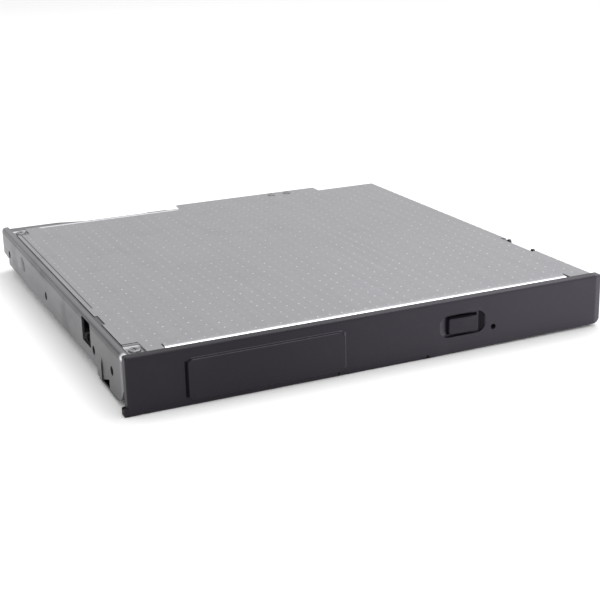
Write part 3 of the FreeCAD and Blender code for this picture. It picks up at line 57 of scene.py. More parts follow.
# %% [markdown]
# ## Places
#
# Added pieces need the same places that the CAD source uses. Its depth axis starts at the chassis front
# edge, while the frame is centred, so one function turns drive millimetres into frame metres. The pickup
# runs at 45 degrees from the spindle to the front left corner, which needs a second one.

# %% Turn drive millimetres into frame metres
half_depth = 63.05
disc_centre_y = 61.5
lane_angle = math.radians(225)


def depth_of(y):
    """A depth of the drive, counted from the chassis front edge, in the frame."""
    return (y - half_depth) * MM


def place(x, y, z):
    """A point of the drive (x right, y back from the chassis front edge, z up) in the frame."""
    return Vector((x * MM, depth_of(y), z * MM))


def lane_place(u, v, z):
    """A point of the pickup's lane: u outward from the spindle, v across."""
    x = u * math.cos(lane_angle) - v * math.sin(lane_angle)
    y = u * math.sin(lane_angle) + v * math.cos(lane_angle)
    return place(x, disc_centre_y + y, z)


print("spindle at", [round(c, 4) for c in place(0, disc_centre_y, 0)])

# %% [markdown]
# ## Tools for finishes
#
# A finish is a Principled shader whose constants sit on its own sockets, and whose changing values come
# from masks. Short helpers keep the node wiring readable. The first ones make a material, add a node with
# its settings and do arithmetic between outputs.

# %% Helpers for materials
def new_material(name, colour, metallic, roughness):
    """A material with its shader's constants set; returns it with its tree and shader."""
    material = bpy.data.materials.new(name)
    material.use_nodes = True
    tree = material.node_tree
    shader = tree.nodes["Principled BSDF"]
    shader.inputs["Base Color"].default_value = (*colour, 1)
    shader.inputs["Metallic"].default_value = metallic
    shader.inputs["Roughness"].default_value = roughness
    return material, tree, shader


def add_node(tree, kind, **settings):
    node = tree.nodes.new(kind)
    for key, value in settings.items():
        setattr(node, key, value)
    return node


def add_math(tree, operation, first, second=0.0):
    """A math node: each operand is a number or another node's output."""
    node = add_node(tree, "ShaderNodeMath", operation=operation)
    for socket, value in zip(node.inputs, (first, second)):
        if isinstance(value, (int, float)):
            socket.default_value = value
        else:
            tree.links.new(value, socket)
    return node.outputs[0]


def object_vector(tree):
    return add_node(tree, "ShaderNodeTexCoord").outputs["Object"]


def split_vector(tree, vector):
    """The three coordinates of a vector, each as an output."""
    split = add_node(tree, "ShaderNodeSeparateXYZ")
    tree.links.new(vector, split.inputs["Vector"])
    return split.outputs["X"], split.outputs["Y"], split.outputs["Z"]


print("material helpers ready")

# %% [markdown]
# ## Masks
#
# A mask is a value between 0 and 1 that says where something happens. Many masks here come from the
# object's own coordinates. A soft range is a step at one place, and a band is two steps back to back.
# Masks multiplied with one another leave only the place where all of them meet.

# %% Helpers for masks
def add_range(tree, value, low, high, out_low=0.0, out_high=1.0):
    """Maps value from low..high to out_low..out_high with soft ends."""
    node = add_node(tree, "ShaderNodeMapRange", interpolation_type="SMOOTHSTEP")
    tree.links.new(value, node.inputs["Value"])
    for key, number in (("From Min", low), ("From Max", high), ("To Min", out_low), ("To Max", out_high)):
        node.inputs[key].default_value = number
    return node.outputs["Result"]


def add_band(tree, value, low, high, fade):
    """1 between low and high, falling off over fade beyond each."""
    rise = add_range(tree, value, low - fade, low)
    fall = add_range(tree, value, high + fade, high)
    return add_math(tree, "MULTIPLY", rise, fall)


def add_meeting(tree, first, *others):
    """The place where all masks meet."""
    for other in others:
        first = add_math(tree, "MULTIPLY", first, other)
    return first


def add_either(tree, first, *others):
    """The places of all masks together."""
    for other in others:
        first = add_math(tree, "MAXIMUM", first, other)
    return first


print("mask helpers ready")

# %% [markdown]
# ## What a mask does
#
# A mask lays one colour over another, makes a value grow from its base, or raises the surface a little.

# %% Helpers that use masks
def shade(colour, factor):
    return tuple(min(1.0, c * factor) for c in colour)


def add_mix(tree, mask, first, second):
    """Mixes two colours by a mask."""
    node = add_node(tree, "ShaderNodeMix", data_type="RGBA")
    tree.links.new(mask, node.inputs["Factor"])
    for index, value in ((6, first), (7, second)):
        if isinstance(value, tuple):
            node.inputs[index].default_value = (*value, 1)
        else:
            tree.links.new(value, node.inputs[index])
    return node.outputs[2]


def paint(tree, tone, colour, mask, amount=1.0):
    """Lays a colour over a tone where the mask says, by an amount."""
    return add_mix(tree, add_math(tree, "MULTIPLY", mask, amount), tone, colour)


def grow(tree, base, mask, amount):
    """A value that grows from its base where the mask says."""
    return add_math(tree, "ADD", add_math(tree, "MULTIPLY", mask, amount), base)


def add_bump(tree, shader, height, strength, distance):
    node = add_node(tree, "ShaderNodeBump")
    node.inputs["Strength"].default_value = strength
    node.inputs["Distance"].default_value = distance
    tree.links.new(height, node.inputs["Height"])
    tree.links.new(node.outputs["Normal"], shader.inputs["Normal"])


print("colour and surface helpers ready")

# %% [markdown]
# ## Shared effects
#
# Sheet metal, plastic and rubber age in different ways, but they share their causes: uneven plating or
# moulding, fine grain, fingerprints and hairline scratches. Each cause is one node group that takes the
# object coordinates and gives values, so any finish can use it without copying nodes. Object coordinates
# are in metres, hence the large noise scales.

# %% Node group helpers
def new_group(name, outputs):
    """A node group with a Vector input and the named float outputs."""
    group = bpy.data.node_groups.new(name, "ShaderNodeTree")
    group.interface.new_socket("Vector", in_out="INPUT", socket_type="NodeSocketVector")
    for output in outputs:
        group.interface.new_socket(output, in_out="OUTPUT", socket_type="NodeSocketFloat")
    return group, group.nodes.new("NodeGroupInput"), group.nodes.new("NodeGroupOutput")


def use_group(tree, group, vector):
    node = add_node(tree, "ShaderNodeGroup", node_tree=group)
    tree.links.new(vector, node.inputs["Vector"])
    return node.outputs


def add_noise(tree, vector, scale, detail, stretch=None):
    """Noise over a vector, which may be stretched along its axes first."""
    if stretch is not None:
        mapping = add_node(tree, "ShaderNodeMapping")
        mapping.inputs["Scale"].default_value = stretch
        tree.links.new(vector, mapping.inputs["Vector"])
        vector = mapping.outputs["Vector"]
    noise = add_node(tree, "ShaderNodeTexNoise")
    noise.inputs["Scale"].default_value = scale
    noise.inputs["Detail"].default_value = detail
    tree.links.new(vector, noise.inputs["Vector"])
    return noise.outputs["Fac"]


print("group helpers ready")

# %% [markdown]
# ## Marks of handling
#
# Fingers leave smudges, and sliding into a bay leaves hairline scratches that run either way. Noise that
# is stretched a lot along one axis and then cut at a high value turns into such hairlines. A coarser noise
# keeps them to some areas, because even wear looks like a pattern.

# %% Clouds, smudges and hairline scratches
cloud_scale = 18
smudge_scale = 75
scratch_scale = 900
scratch_along = (0.035, 1.0, 1.0)
scratch_across = (1.0, 0.05, 1.0)
scratched_area_scale = 55


def make_handling_group():
    group, start, end = new_group("handling_marks", ["Cloud", "Smudge", "Scratch"])
    vector = start.outputs["Vector"]
    cloud = add_noise(group, vector, cloud_scale, detail=3)
    group.links.new(add_range(group, cloud, 0.3, 0.7), end.inputs["Cloud"])
    smudge = add_noise(group, vector, smudge_scale, detail=5)
    group.links.new(add_range(group, smudge, 0.52, 0.72), end.inputs["Smudge"])
    along = add_noise(group, vector, scratch_scale, detail=2, stretch=scratch_along)
    across = add_noise(group, vector, scratch_scale, detail=2, stretch=scratch_across)
    lines = add_either(group, add_range(group, along, 0.70, 0.74), add_range(group, across, 0.72, 0.76))
    area = add_noise(group, vector, scratched_area_scale, detail=2)
    scratch = add_meeting(group, lines, add_range(group, area, 0.5, 0.62))
    group.links.new(scratch, end.inputs["Scratch"])
    return group


handling = make_handling_group()
print("group", handling.name)

# %% [markdown]
# ## Grain of sheet and of plastic
#
# Rolling leaves streaks in sheet metal, and zinc plating leaves small crystals, for which the cells of a
# Voronoi texture stand. Moulded plastic takes its skin from the eroded steel of the mould, so its grain has
# no direction, but the resin's flow leaves very faint clouds.

# %% Grain of rolled sheet
streak_scale = 700
streak_stretch = (1.0, 0.04, 1.0)
spangle_scale = 1400


def make_rolled_group():
    """Streaks along the rolling direction, with the small spangle of zinc plating between them."""
    group, start, end = new_group("rolled_sheet", ["Streak", "Spangle"])
    vector = start.outputs["Vector"]
    streak = add_noise(group, vector, streak_scale, detail=3, stretch=streak_stretch)
    group.links.new(add_range(group, streak, 0.3, 0.7), end.inputs["Streak"])
    cells = add_node(group, "ShaderNodeTexVoronoi", feature="F1")
    cells.inputs["Scale"].default_value = spangle_scale
    group.links.new(vector, cells.inputs["Vector"])
    tone = add_node(group, "ShaderNodeSeparateColor")
    group.links.new(cells.outputs["Color"], tone.inputs["Color"])
    group.links.new(tone.outputs["Red"], end.inputs["Spangle"])
    return group


rolled = make_rolled_group()
print("group", rolled.name)

# %% Grain of moulded plastic
grain_scale = 3200
flow_scale = 30
flow_stretch = (0.3, 1.0, 1.0)


def make_grain_group():
    """The eroded texture that a mould leaves on plastic, fine and without direction."""
    group, start, end = new_group("moulded_grain", ["Grain", "Flow"])
    vector = start.outputs["Vector"]
    pits = add_noise(group, vector, grain_scale, detail=2)
    group.links.new(add_range(group, pits, 0.3, 0.7), end.inputs["Grain"])
    flow = add_noise(group, vector, flow_scale, detail=2, stretch=flow_stretch)
    group.links.new(add_range(group, flow, 0.35, 0.65), end.inputs["Flow"])
    return group


grain = make_grain_group()
print("group", grain.name)

# %% [markdown]
# ## Pressed dots
#
# The cover carries rows of fine dots, 0.3 mm in radius. More than a thousand of them as geometry would
# cost a lot and show little, so they are a mask. The fraction of a coordinate divided by the pitch starts
# again in each cell of a grid, and the distance from the cell's middle makes a dot.

# %% Rows of dots
dot_pitch = (3.2 * MM, 3.6 * MM)
dot_radius = 0.30 * MM
dot_crown = 0.45 * dot_radius


def make_dot_group():
    """A mask of round dots on a grid, worked out by folding the coordinates into one grid cell."""
    group, start, end = new_group("pressed_dots", ["Dot"])
    across, back, _ = split_vector(group, start.outputs["Vector"])
    squares = []
    for value, pitch in zip((across, back), dot_pitch):
        cell = add_math(group, "FRACT", add_math(group, "DIVIDE", value, pitch))
        offset = add_math(group, "MULTIPLY", add_math(group, "SUBTRACT", cell, 0.5), pitch)
        squares.append(add_math(group, "MULTIPLY", offset, offset))
    distance = add_math(group, "SQRT", add_math(group, "ADD", *squares))
    dot = add_range(group, distance, dot_radius, dot_crown)
    group.links.new(dot, end.inputs["Dot"])
    return group


dots = make_dot_group()
print("group", dots.name)

# %% [markdown]
# ## Painted highlights and shade on the cover
#
# The cover's front bend, its rear edge and the ends of the stepped-down corner tabs get a painted
# highlight. The risers of the tabs get painted shade, and a long bead beside the cover's left edge gets a
# dark line of painted shade. Each mark is a mask made from ranges across (X), back (Y) and up (Z). The
# fade of a range is how softly it ends.

# %% Places of the painted highlights and shade on the cover
bead_end_fade = 0.7 * MM
fine_fade = 0.1 * MM
highlight_left = (-54.0 * MM, -53.3 * MM)
highlight_right = (56.4 * MM, 55.7 * MM)
highlight_front = (depth_of(2.35), depth_of(1.65))
highlight_rear = (depth_of(119.4), depth_of(120.2))
highlight_rear_right = (-8.0 * MM, -8.7 * MM)
tab_inside = (-57.95 * MM, -58.05 * MM)
tab_floor = (12.35 * MM, 12.25 * MM)
tab_front_end = (depth_of(5.4), depth_of(6.4))
tab_rear_end = (depth_of(119.9), depth_of(121.0))
tab_end_fade = 0.15 * MM
riser_height = (12.26 * MM, 12.64 * MM)
riser_height_fade = 0.06 * MM
riser_across = (-57.95 * MM, -57.45 * MM)
bead_across = (-60.75 * MM, -60.55 * MM)
bead_across_fade = 0.15 * MM
bead_length = (depth_of(36.0), depth_of(114.0))
# The colour of painted highlights.
highlight_metal = (0.95, 0.95, 0.96)
print("polished bend starts at", round(highlight_front[0], 4))

# %% Paint the highlights and shade on the cover
def add_cover_light_and_shade(tree, vector, colour, tone):
    """Paints highlights on the cover's bends and tab ends, and shade on the tab risers and the bead."""
    across, back, up = split_vector(tree, vector)
    front = add_meeting(tree, add_range(tree, back, *highlight_front), add_range(tree, across, *highlight_right))
    rear = add_meeting(tree, add_band(tree, back, *highlight_rear, fine_fade),
                       add_range(tree, across, *highlight_rear_right))
    bend_highlight = add_meeting(tree, add_either(tree, front, rear), add_range(tree, across, *highlight_left))
    # Painted highlight on the front bend and the rear edge.
    tone = paint(tree, tone, shade(colour, 2.7), bend_highlight)
    ends = add_either(tree, add_band(tree, back, *tab_front_end, tab_end_fade),
                      add_band(tree, back, *tab_rear_end, tab_end_fade))
    tabs = add_meeting(tree, add_range(tree, up, *tab_floor), add_range(tree, across, *tab_inside))
    # Painted highlight on the ends of the tabs.
    tone = paint(tree, tone, highlight_metal, add_meeting(tree, ends, tabs), amount=0.9)
    riser_shade = add_meeting(tree, add_band(tree, up, *riser_height, riser_height_fade),
                         add_band(tree, across, *riser_across, fine_fade))
    # Painted shade on the risers of the tabs.
    tone = paint(tree, tone, shade(colour, 0.15), riser_shade, amount=0.85)
    bead_shade = add_meeting(tree, add_band(tree, across, *bead_across, bead_across_fade),
                       add_band(tree, back, *bead_length, bead_end_fade))
    # Painted shade: a dark line along the bead.
    return paint(tree, tone, shade(colour, 0.12), bead_shade, amount=0.95)


print("forming marks ready")

# %% [markdown]
# ## Painted light and shade on the pan
#
# The pan is painted darker towards its front, a painted shade. Its left wall, which faces the viewer, has
# painted shade where it bends into the top flange and into the floor, and a painted highlight along the
# flange's edge. The rounded front corner has a painted highlight, strongest at its top, where it shines
# like a small ball.

# %% Places of the painted light and shade on the pan
front_shade_depth = (depth_of(110.0), depth_of(0.0))
wall_face = (-63.5 * MM, -63.8 * MM)
fold_height = (11.15 * MM, 11.55 * MM)
foot_height = (-0.1 * MM, 0.6 * MM)
foot_across = (-62.4 * MM, -63.0 * MM)
bend_fade = 0.3 * MM
flange_height = (12.2 * MM, 12.5 * MM)
flange_across = (-63.4 * MM, -62.6 * MM)
flange_fade = 0.2 * MM
corner_across = (-62.4 * MM, -63.1 * MM)
corner_length = (depth_of(3.0), depth_of(1.2))
ball_height = (10.9 * MM, 11.8 * MM)
print("pan dulls over", round(front_shade_depth[0] - front_shade_depth[1], 3), "m")

# %% Paint the light and shade on the pan
def add_wall_light_and_shade(tree, vector, colour, tone):
    """Paints shade on the pan's front and bends, and highlights on its flange and front corner."""
    across, back, up = split_vector(tree, vector)
    # Painted shade: darker towards the front.
    tone = paint(tree, tone, shade(colour, 0.55), add_range(tree, back, *front_shade_depth))
    fold_shade = add_meeting(tree, add_range(tree, across, *wall_face),
                       add_band(tree, up, *fold_height, bend_fade))
    foot_shade = add_meeting(tree, add_range(tree, across, *foot_across),
                       add_band(tree, up, *foot_height, bend_fade))
    # Painted shade in the top fold and the bottom bend of the wall.
    tone = paint(tree, tone, shade(colour, 0.2), add_either(tree, fold_shade, foot_shade), amount=0.9)
    flange_highlight = add_meeting(tree, add_range(tree, up, *flange_height),
                         add_band(tree, across, *flange_across, flange_fade))
    # Painted highlight along the flange.
    tone = paint(tree, tone, shade(colour, 1.7), flange_highlight, amount=0.5)
    corner_highlight = add_meeting(tree, add_range(tree, across, *corner_across),
                         add_range(tree, back, *corner_length))
    # Painted highlight on the rounded front corner.
    tone = paint(tree, tone, shade(colour, 1.7), corner_highlight, amount=0.5)
    # Painted highlight like a small ball at the top of the corner.
    ball_highlight = add_meeting(tree, corner_highlight, add_range(tree, up, *ball_height))
    return paint(tree, tone, highlight_metal, ball_highlight, amount=0.8)


print("pan wear ready")

# %% [markdown]
# ## Metal
#
# The pan, the cover and the rails are zinc plated steel. Plated sheet isn't a mirror: the rolls leave
# streaks, the zinc leaves a faint spangle, and hands leave dull smudges and hairline scratches. The cover
# also carries the grid of pressed dots, paler than the sheet by a painted highlight, which a coarse noise
# makes weaker on some of them. Die-cast metal has no rolling direction.

# %% Make sheet metal
fine_relief = 0.03 * MM
dot_highlight_scale = 330


def add_dots(tree, vector, colour, tone, height):
    """Lays a painted highlight on the pressed dots and raises them."""
    dot = use_group(tree, dots, vector)["Dot"]
    dot_highlight_strength = add_noise(tree, vector, dot_highlight_scale, detail=1)
    dot_highlight_strength = add_range(tree, dot_highlight_strength, 0.35, 0.65, out_low=0.3)
    # Painted highlight: the dots are paler than the sheet.
    tone = add_mix(tree, add_meeting(tree, dot, dot_highlight_strength), tone, shade(colour, 2.3))
    return tone, grow(tree, height, dot, amount=3.0)


def sheet_metal(name, colour, roughness, streak=0.12, wear=0.5, metallic=0.9, dotted=False, walled=False):
    """Rolled and plated sheet: dotted for the cover, walled for the pan; both add painted light and shade.
    """
    material, tree, shader = new_material(name, colour, metallic, roughness)
    vector = object_vector(tree)
    sheet = use_group(tree, rolled, vector)
    marks = use_group(tree, handling, vector)
    tone = add_mix(tree, sheet["Streak"], shade(colour, 1 - streak), shade(colour, 1 + streak))
    tone = paint(tree, tone, shade(colour, 1.35), sheet["Spangle"], amount=0.14)
    tone = paint(tree, tone, shade(colour, 0.72), marks["Smudge"], amount=0.22 * wear)
    tone = paint(tree, tone, shade(colour, 1.5), marks["Scratch"], amount=0.5 * wear)
    height = add_math(tree, "MULTIPLY", sheet["Streak"], 0.2)
    if dotted:
        tone, height = add_dots(tree, vector, colour, tone, height)
        tone = add_cover_light_and_shade(tree, vector, colour, tone)
    if walled:
        tone = add_wall_light_and_shade(tree, vector, colour, tone)
    tree.links.new(tone, shader.inputs["Base Color"])
    rough = grow(tree, roughness, marks["Cloud"], amount=0.08)
    rough = grow(tree, rough, marks["Smudge"], amount=0.12 * wear)
    tree.links.new(rough, shader.inputs["Roughness"])
    add_bump(tree, shader, height, strength=0.25, distance=fine_relief)
    return material


print("sheet metal ready")

# %% Make cast metal
def cast_metal(name, colour, roughness):
    """Die-cast metal: a fine pitted skin and soft flow marks."""
    material, tree, shader = new_material(name, colour, 0.75, roughness)
    vector = object_vector(tree)
    skin = use_group(tree, grain, vector)
    marks = use_group(tree, handling, vector)
    tone = add_mix(tree, skin["Flow"], shade(colour, 0.85), shade(colour, 1.12))
    tone = paint(tree, tone, shade(colour, 1.8), marks["Scratch"], amount=0.4)
    tree.links.new(tone, shader.inputs["Base Color"])
    rough = grow(tree, roughness, skin["Grain"], amount=0.15)
    tree.links.new(rough, shader.inputs["Roughness"])
    add_bump(tree, shader, skin["Grain"], strength=0.3, distance=0.04 * MM)
    return material


print("cast metal ready")

# %% Metal finishes
sheet_looks = {
    "pan_steel": dict(colour=(0.163, 0.160, 0.171), roughness=0.36, wear=0.8, walled=True),
    "cover_steel": dict(colour=(0.326, 0.326, 0.342), roughness=0.34, streak=0.03, dotted=True),
    "plate_steel": dict(colour=(0.45, 0.45, 0.46), roughness=0.38),
    # rail_steel and slide_steel are darker than bare steel: painted shade for the dark inside of the drive.
    "rail_steel": dict(colour=(0.22, 0.22, 0.225), roughness=0.38),
    "slide_steel": dict(colour=(0.20, 0.20, 0.205), roughness=0.36),
    "bright_steel": dict(colour=(0.70, 0.70, 0.71), roughness=0.12, streak=0.03, wear=0.3, metallic=1.0),
    "screw_steel": dict(colour=(0.27, 0.27, 0.28), roughness=0.32, streak=0.06, wear=0.9),
    "motor_steel": dict(colour=(0.50, 0.50, 0.52), roughness=0.3, streak=0.06),
    "hub_metal": dict(colour=(0.62, 0.62, 0.63), roughness=0.24, streak=0.04, wear=0.4),
    "black_sheet": dict(colour=(0.03, 0.03, 0.032), roughness=0.5, streak=0.2, metallic=0.3),
    "contact_gold": dict(colour=(0.80, 0.58, 0.24), roughness=0.2, streak=0.04, metallic=1.0),
}
finishes = {name: sheet_metal(name, **look) for name, look in sheet_looks.items()}
finishes["frame_metal"] = cast_metal("frame_metal", (0.20, 0.20, 0.21), 0.45)
finishes["sled_metal"] = cast_metal("sled_metal", (0.55, 0.55, 0.57), 0.38)
print("metal finishes", sorted(finishes))

# %% [markdown]
# ## Painted sheen of the bezel
#
# The bezel's shine is a painted sheen that grows from left to right. The top and far edges of the raised
# panel, the right end and the near side of the finger scoop get a painted highlight. The step left of the
# panel, the far side of the scoop and the left end get painted shade, their shine taken away, and two
# mould seams under the front lose their shine too. All of these masks change one value, how strongly the
# plastic mirrors, because its colour stays the same.

# %% Places of the painted sheen and shade on the bezel
edge_fade = 0.15 * MM
long_fade = 4 * edge_fade
panel_step = (-50.35 * MM, -49.8 * MM)
panel_height = (1.4 * MM, 9.6 * MM)
panel_crest = (10.1 * MM, 10.45 * MM)
panel_width = (-48.5 * MM, -11.3 * MM)
panel_far_edge = (-10.35 * MM, -10.05 * MM)
right_end = (62.0 * MM, 62.7 * MM)
scoop_near = (14.8 * MM, 17.4 * MM)
scoop_far = (27.2 * MM, 29.3 * MM)
scoop_height = (3.2 * MM, 9.6 * MM)
scoop_depth = (depth_of(-2.38), depth_of(-2.2))
left_end = (-64.3 * MM, -64.6 * MM)
left_end_depth = (depth_of(-1.7), depth_of(-1.3))
mould_seams = ((-12.1 * MM, -11.8 * MM), (12.0 * MM, 12.7 * MM))
seam_height = (0.2 * MM, -0.2 * MM)
sheen_ramp_width = (-45.0 * MM, 66.0 * MM)
print("shine grows over", round(sheen_ramp_width[1] - sheen_ramp_width[0], 3), "m")

# %% Paint the sheen and shade on the bezel
def add_bezel_sheen(tree, shader, vector, shine):
    """Paints a sheen that grows to the right, with highlights on some edges and shade on others."""
    across, back, up = split_vector(tree, vector)
    beside_panel = add_band(tree, up, *panel_height, long_fade)
    crest = add_meeting(tree, add_band(tree, up, *panel_crest, edge_fade),
                        add_band(tree, across, *panel_width, long_fade))
    far_edge = add_meeting(tree, add_band(tree, across, *panel_far_edge, edge_fade), beside_panel)
    in_scoop = add_meeting(tree, add_range(tree, back, *scoop_depth),
                           add_band(tree, up, *scoop_height, edge_fade))
    near_side = add_meeting(tree, in_scoop, add_band(tree, across, *scoop_near, edge_fade))
    far_side = add_meeting(tree, in_scoop, add_band(tree, across, *scoop_far, edge_fade))
    # Painted sheen: the shine grows to the right and is stronger on some edges.
    sheen_level = add_range(tree, across, *sheen_ramp_width, 1.0, 2.7)
    sheen_level = grow(tree, sheen_level, add_either(tree, crest, far_edge), amount=2.2)
    sheen_level = grow(tree, sheen_level, add_range(tree, across, *right_end), amount=2.4)
    sheen_level = grow(tree, sheen_level, near_side, amount=2.2)
    # The shine is taken away here: painted shade on the step, the scoop's far side and the left end.
    shaded_places = [
        add_meeting(tree, add_band(tree, across, *panel_step, edge_fade), beside_panel),
        add_math(tree, "MULTIPLY", far_side, 0.9),
        add_meeting(tree, add_range(tree, across, *left_end), add_range(tree, back, *left_end_depth)),
    ]
    for seam in mould_seams:
        seam_across = add_band(tree, across, *seam, edge_fade)
        shaded_places.append(add_meeting(tree, seam_across, add_range(tree, up, *seam_height)))
    kept = add_math(tree, "SUBTRACT", 1.0, add_either(tree, *shaded_places))
    tree.links.new(add_meeting(tree, sheen_level, kept, shine), shader.inputs["Specular IOR Level"])


print("edge masks ready")

# %% [markdown]
# ## Plastics and rubber
#
# The bezel and its button are moulded in charcoal plastic with an eroded grain that scatters light; the
# tray is the same resin in black. Open faces pick up pale smudges from fingers. Rubber is duller still,
# with dust held in its surface. A near-black finish that hardly shines takes the same shader, though it
# is no plastic: the taps and rims of the holes and the cut under the wall's dimple wear it as painted
# shade.

# %% Make plastic
dust_colour = (0.45, 0.44, 0.42)
bezel_tint = (1.0, 0.92, 1.10)


def moulded(name, colour, roughness, grain_depth=0.35, dust=0.25, shine=0.4, painted_sheen=False,
            tint=(1.0, 1.0, 1.0)):
    material, tree, shader = new_material(name, colour, 0.0, roughness)
    shader.inputs["Specular IOR Level"].default_value = shine
    shader.inputs["Specular Tint"].default_value = (*tint, 1)
    vector = object_vector(tree)
    skin = use_group(tree, grain, vector)
    marks = use_group(tree, handling, vector)
    tone = add_mix(tree, skin["Flow"], shade(colour, 0.92), shade(colour, 1.08))
    tone = paint(tree, tone, shade(colour, 1.3), skin["Grain"], amount=0.3)
    tone = paint(tree, tone, dust_colour, marks["Smudge"], amount=0.12 * dust)
    tone = paint(tree, tone, shade(colour, 2.2), marks["Scratch"], amount=0.25)
    tree.links.new(tone, shader.inputs["Base Color"])
    rough = grow(tree, roughness, marks["Cloud"], amount=0.07)
    tree.links.new(rough, shader.inputs["Roughness"])
    add_bump(tree, shader, skin["Grain"], strength=grain_depth, distance=fine_relief)
    # Painted sheen and shade on the bezel's edges.
    if painted_sheen:
        add_bezel_sheen(tree, shader, vector, shine)
    return material


print("plastic ready")

# %% Plastic and rubber finishes
moulded_looks = {
    "bezel_plastic": dict(colour=(0.0085, 0.0072, 0.0100), roughness=0.42, dust=0.08, shine=0.24,
                          painted_sheen=True, tint=bezel_tint),
    "button_plastic": dict(colour=(0.0092, 0.0080, 0.0110), roughness=0.40, dust=0.08, shine=0.34,
                           tint=bezel_tint),
    "tray_plastic": dict(colour=(0.022, 0.022, 0.024), roughness=0.5, dust=0.08),
    "switch_plastic": dict(colour=(0.06, 0.06, 0.065), roughness=0.45),
    "connector_plastic": dict(colour=(0.028, 0.028, 0.03), roughness=0.42),
    "chip_plastic": dict(colour=(0.02, 0.02, 0.021), roughness=0.55, grain_depth=0.5),
    "lever_plastic": dict(colour=(0.72, 0.71, 0.66), roughness=0.4, grain_depth=0.15),
    # Near black: painted shade for the dark insides of holes and cuts.
    "painted_shade_black": dict(colour=(0.006, 0.006, 0.006), roughness=0.6, grain_depth=0.1, dust=0.05,
                        shine=0.05),
    "claw_plastic": dict(colour=(0.05, 0.05, 0.05), roughness=0.35, grain_depth=0.1),
    "holder_plastic": dict(colour=(0.045, 0.045, 0.05), roughness=0.38, grain_depth=0.15),
    "damper_rubber": dict(colour=(0.03, 0.03, 0.03), roughness=0.75, dust=1.0),
    "ring_rubber": dict(colour=(0.025, 0.025, 0.025), roughness=0.7, dust=0.8),
}
finishes.update({name: moulded(name, **look) for name, look in moulded_looks.items()})
print("finishes so far", len(finishes))

# %% [markdown]
# ## Boards, cable, coil and lens
#
# Four finishes follow how the thing is made. A board is green solder mask over copper tracks, so raised
# lines show through it. The flat cable is copper strips between amber films. The solenoid and the
# ejector spring are wound, so bands of wire run round them. The lens carries a blue-violet coating.

# %% Circuit board
mask_green = (0.018, 0.12, 0.05)
track_green = (0.05, 0.24, 0.10)
track_cells = 320


def circuit_board():
    """Solder mask over tracks, which follow the borders of uneven cells."""
    material, tree, shader = new_material("circuit_board", mask_green, 0.0, 0.3)
    vector = object_vector(tree)
    cells = add_node(tree, "ShaderNodeTexVoronoi", feature="DISTANCE_TO_EDGE", distance="EUCLIDEAN")
    cells.inputs["Scale"].default_value = track_cells
    cells.inputs["Randomness"].default_value = 0.35
    tree.links.new(vector, cells.inputs["Vector"])
    track = add_range(tree, cells.outputs["Distance"], 0.12, 0.08)
    marks = use_group(tree, handling, vector)
    tone = add_mix(tree, track, mask_green, track_green)
    tone = paint(tree, tone, (0.2, 0.25, 0.2), marks["Smudge"], amount=0.2)
    tree.links.new(tone, shader.inputs["Base Color"])
    rough = grow(tree, 0.25, marks["Cloud"], amount=0.15)
    tree.links.new(rough, shader.inputs["Roughness"])
    add_bump(tree, shader, track, strength=0.4, distance=fine_relief)
    return material


finishes["circuit_board"] = circuit_board()
print("board finish", finishes["circuit_board"].name)

# %% Flat cable and wound wire
film_amber = (0.42, 0.20, 0.05)
strip_amber = (0.62, 0.36, 0.14)
strip_scale = 160


def add_bands(tree, vector, axis, scale):
    """Evenly spaced bands across one axis, 0 in the gaps and 1 on the bands."""
    wave = add_node(tree, "ShaderNodeTexWave", wave_type="BANDS", bands_direction=axis)
    wave.inputs["Scale"].default_value = scale
    tree.links.new(vector, wave.inputs["Vector"])
    return wave.outputs["Fac"]


def flex_film():
    material, tree, shader = new_material("flex_film", film_amber, 0.0, 0.25)
    vector = object_vector(tree)
    strip = add_range(tree, add_bands(tree, vector, "X", strip_scale), 0.35, 0.65)
    marks = use_group(tree, handling, vector)
    tone = add_mix(tree, strip, film_amber, strip_amber)
    tone = paint(tree, tone, (0.8, 0.6, 0.4), marks["Scratch"], amount=0.4)
    tree.links.new(tone, shader.inputs["Base Color"])
    rough = grow(tree, 0.2, marks["Cloud"], amount=0.15)
    tree.links.new(rough, shader.inputs["Roughness"])
    add_bump(tree, shader, strip, strength=0.3, distance=fine_relief)
    return material


def wound(name, colour, metallic, axis, scale):
    """Wire laid turn beside turn, with painted shade in the gaps."""
    material, tree, shader = new_material(name, colour, metallic, 0.3)
    vector = object_vector(tree)
    wire = add_bands(tree, vector, axis, scale)
    marks = use_group(tree, handling, vector)
    # Painted shade: the gaps between turns are darkened.
    tone = add_mix(tree, wire, shade(colour, 0.2), colour)
    tone = paint(tree, tone, shade(colour, 0.6), marks["Smudge"], amount=0.2)
    tree.links.new(tone, shader.inputs["Base Color"])
    rough = grow(tree, 0.22, marks["Cloud"], amount=0.15)
    tree.links.new(rough, shader.inputs["Roughness"])
    add_bump(tree, shader, wire, strength=0.8, distance=0.1 * MM)
    return material


finishes["flex_film"] = flex_film()
finishes["coil_wire"] = wound("coil_wire", (0.55, 0.22, 0.08), 0.8, "Y", 900)
finishes["spring_steel"] = wound("spring_steel", (0.5, 0.5, 0.5), 0.9, "Y", 320)
print("finishes so far", len(finishes))

# %% Coated lens
lens_blue = (0.26, 0.30, 0.62)
lens_violet = (0.36, 0.34, 0.66)


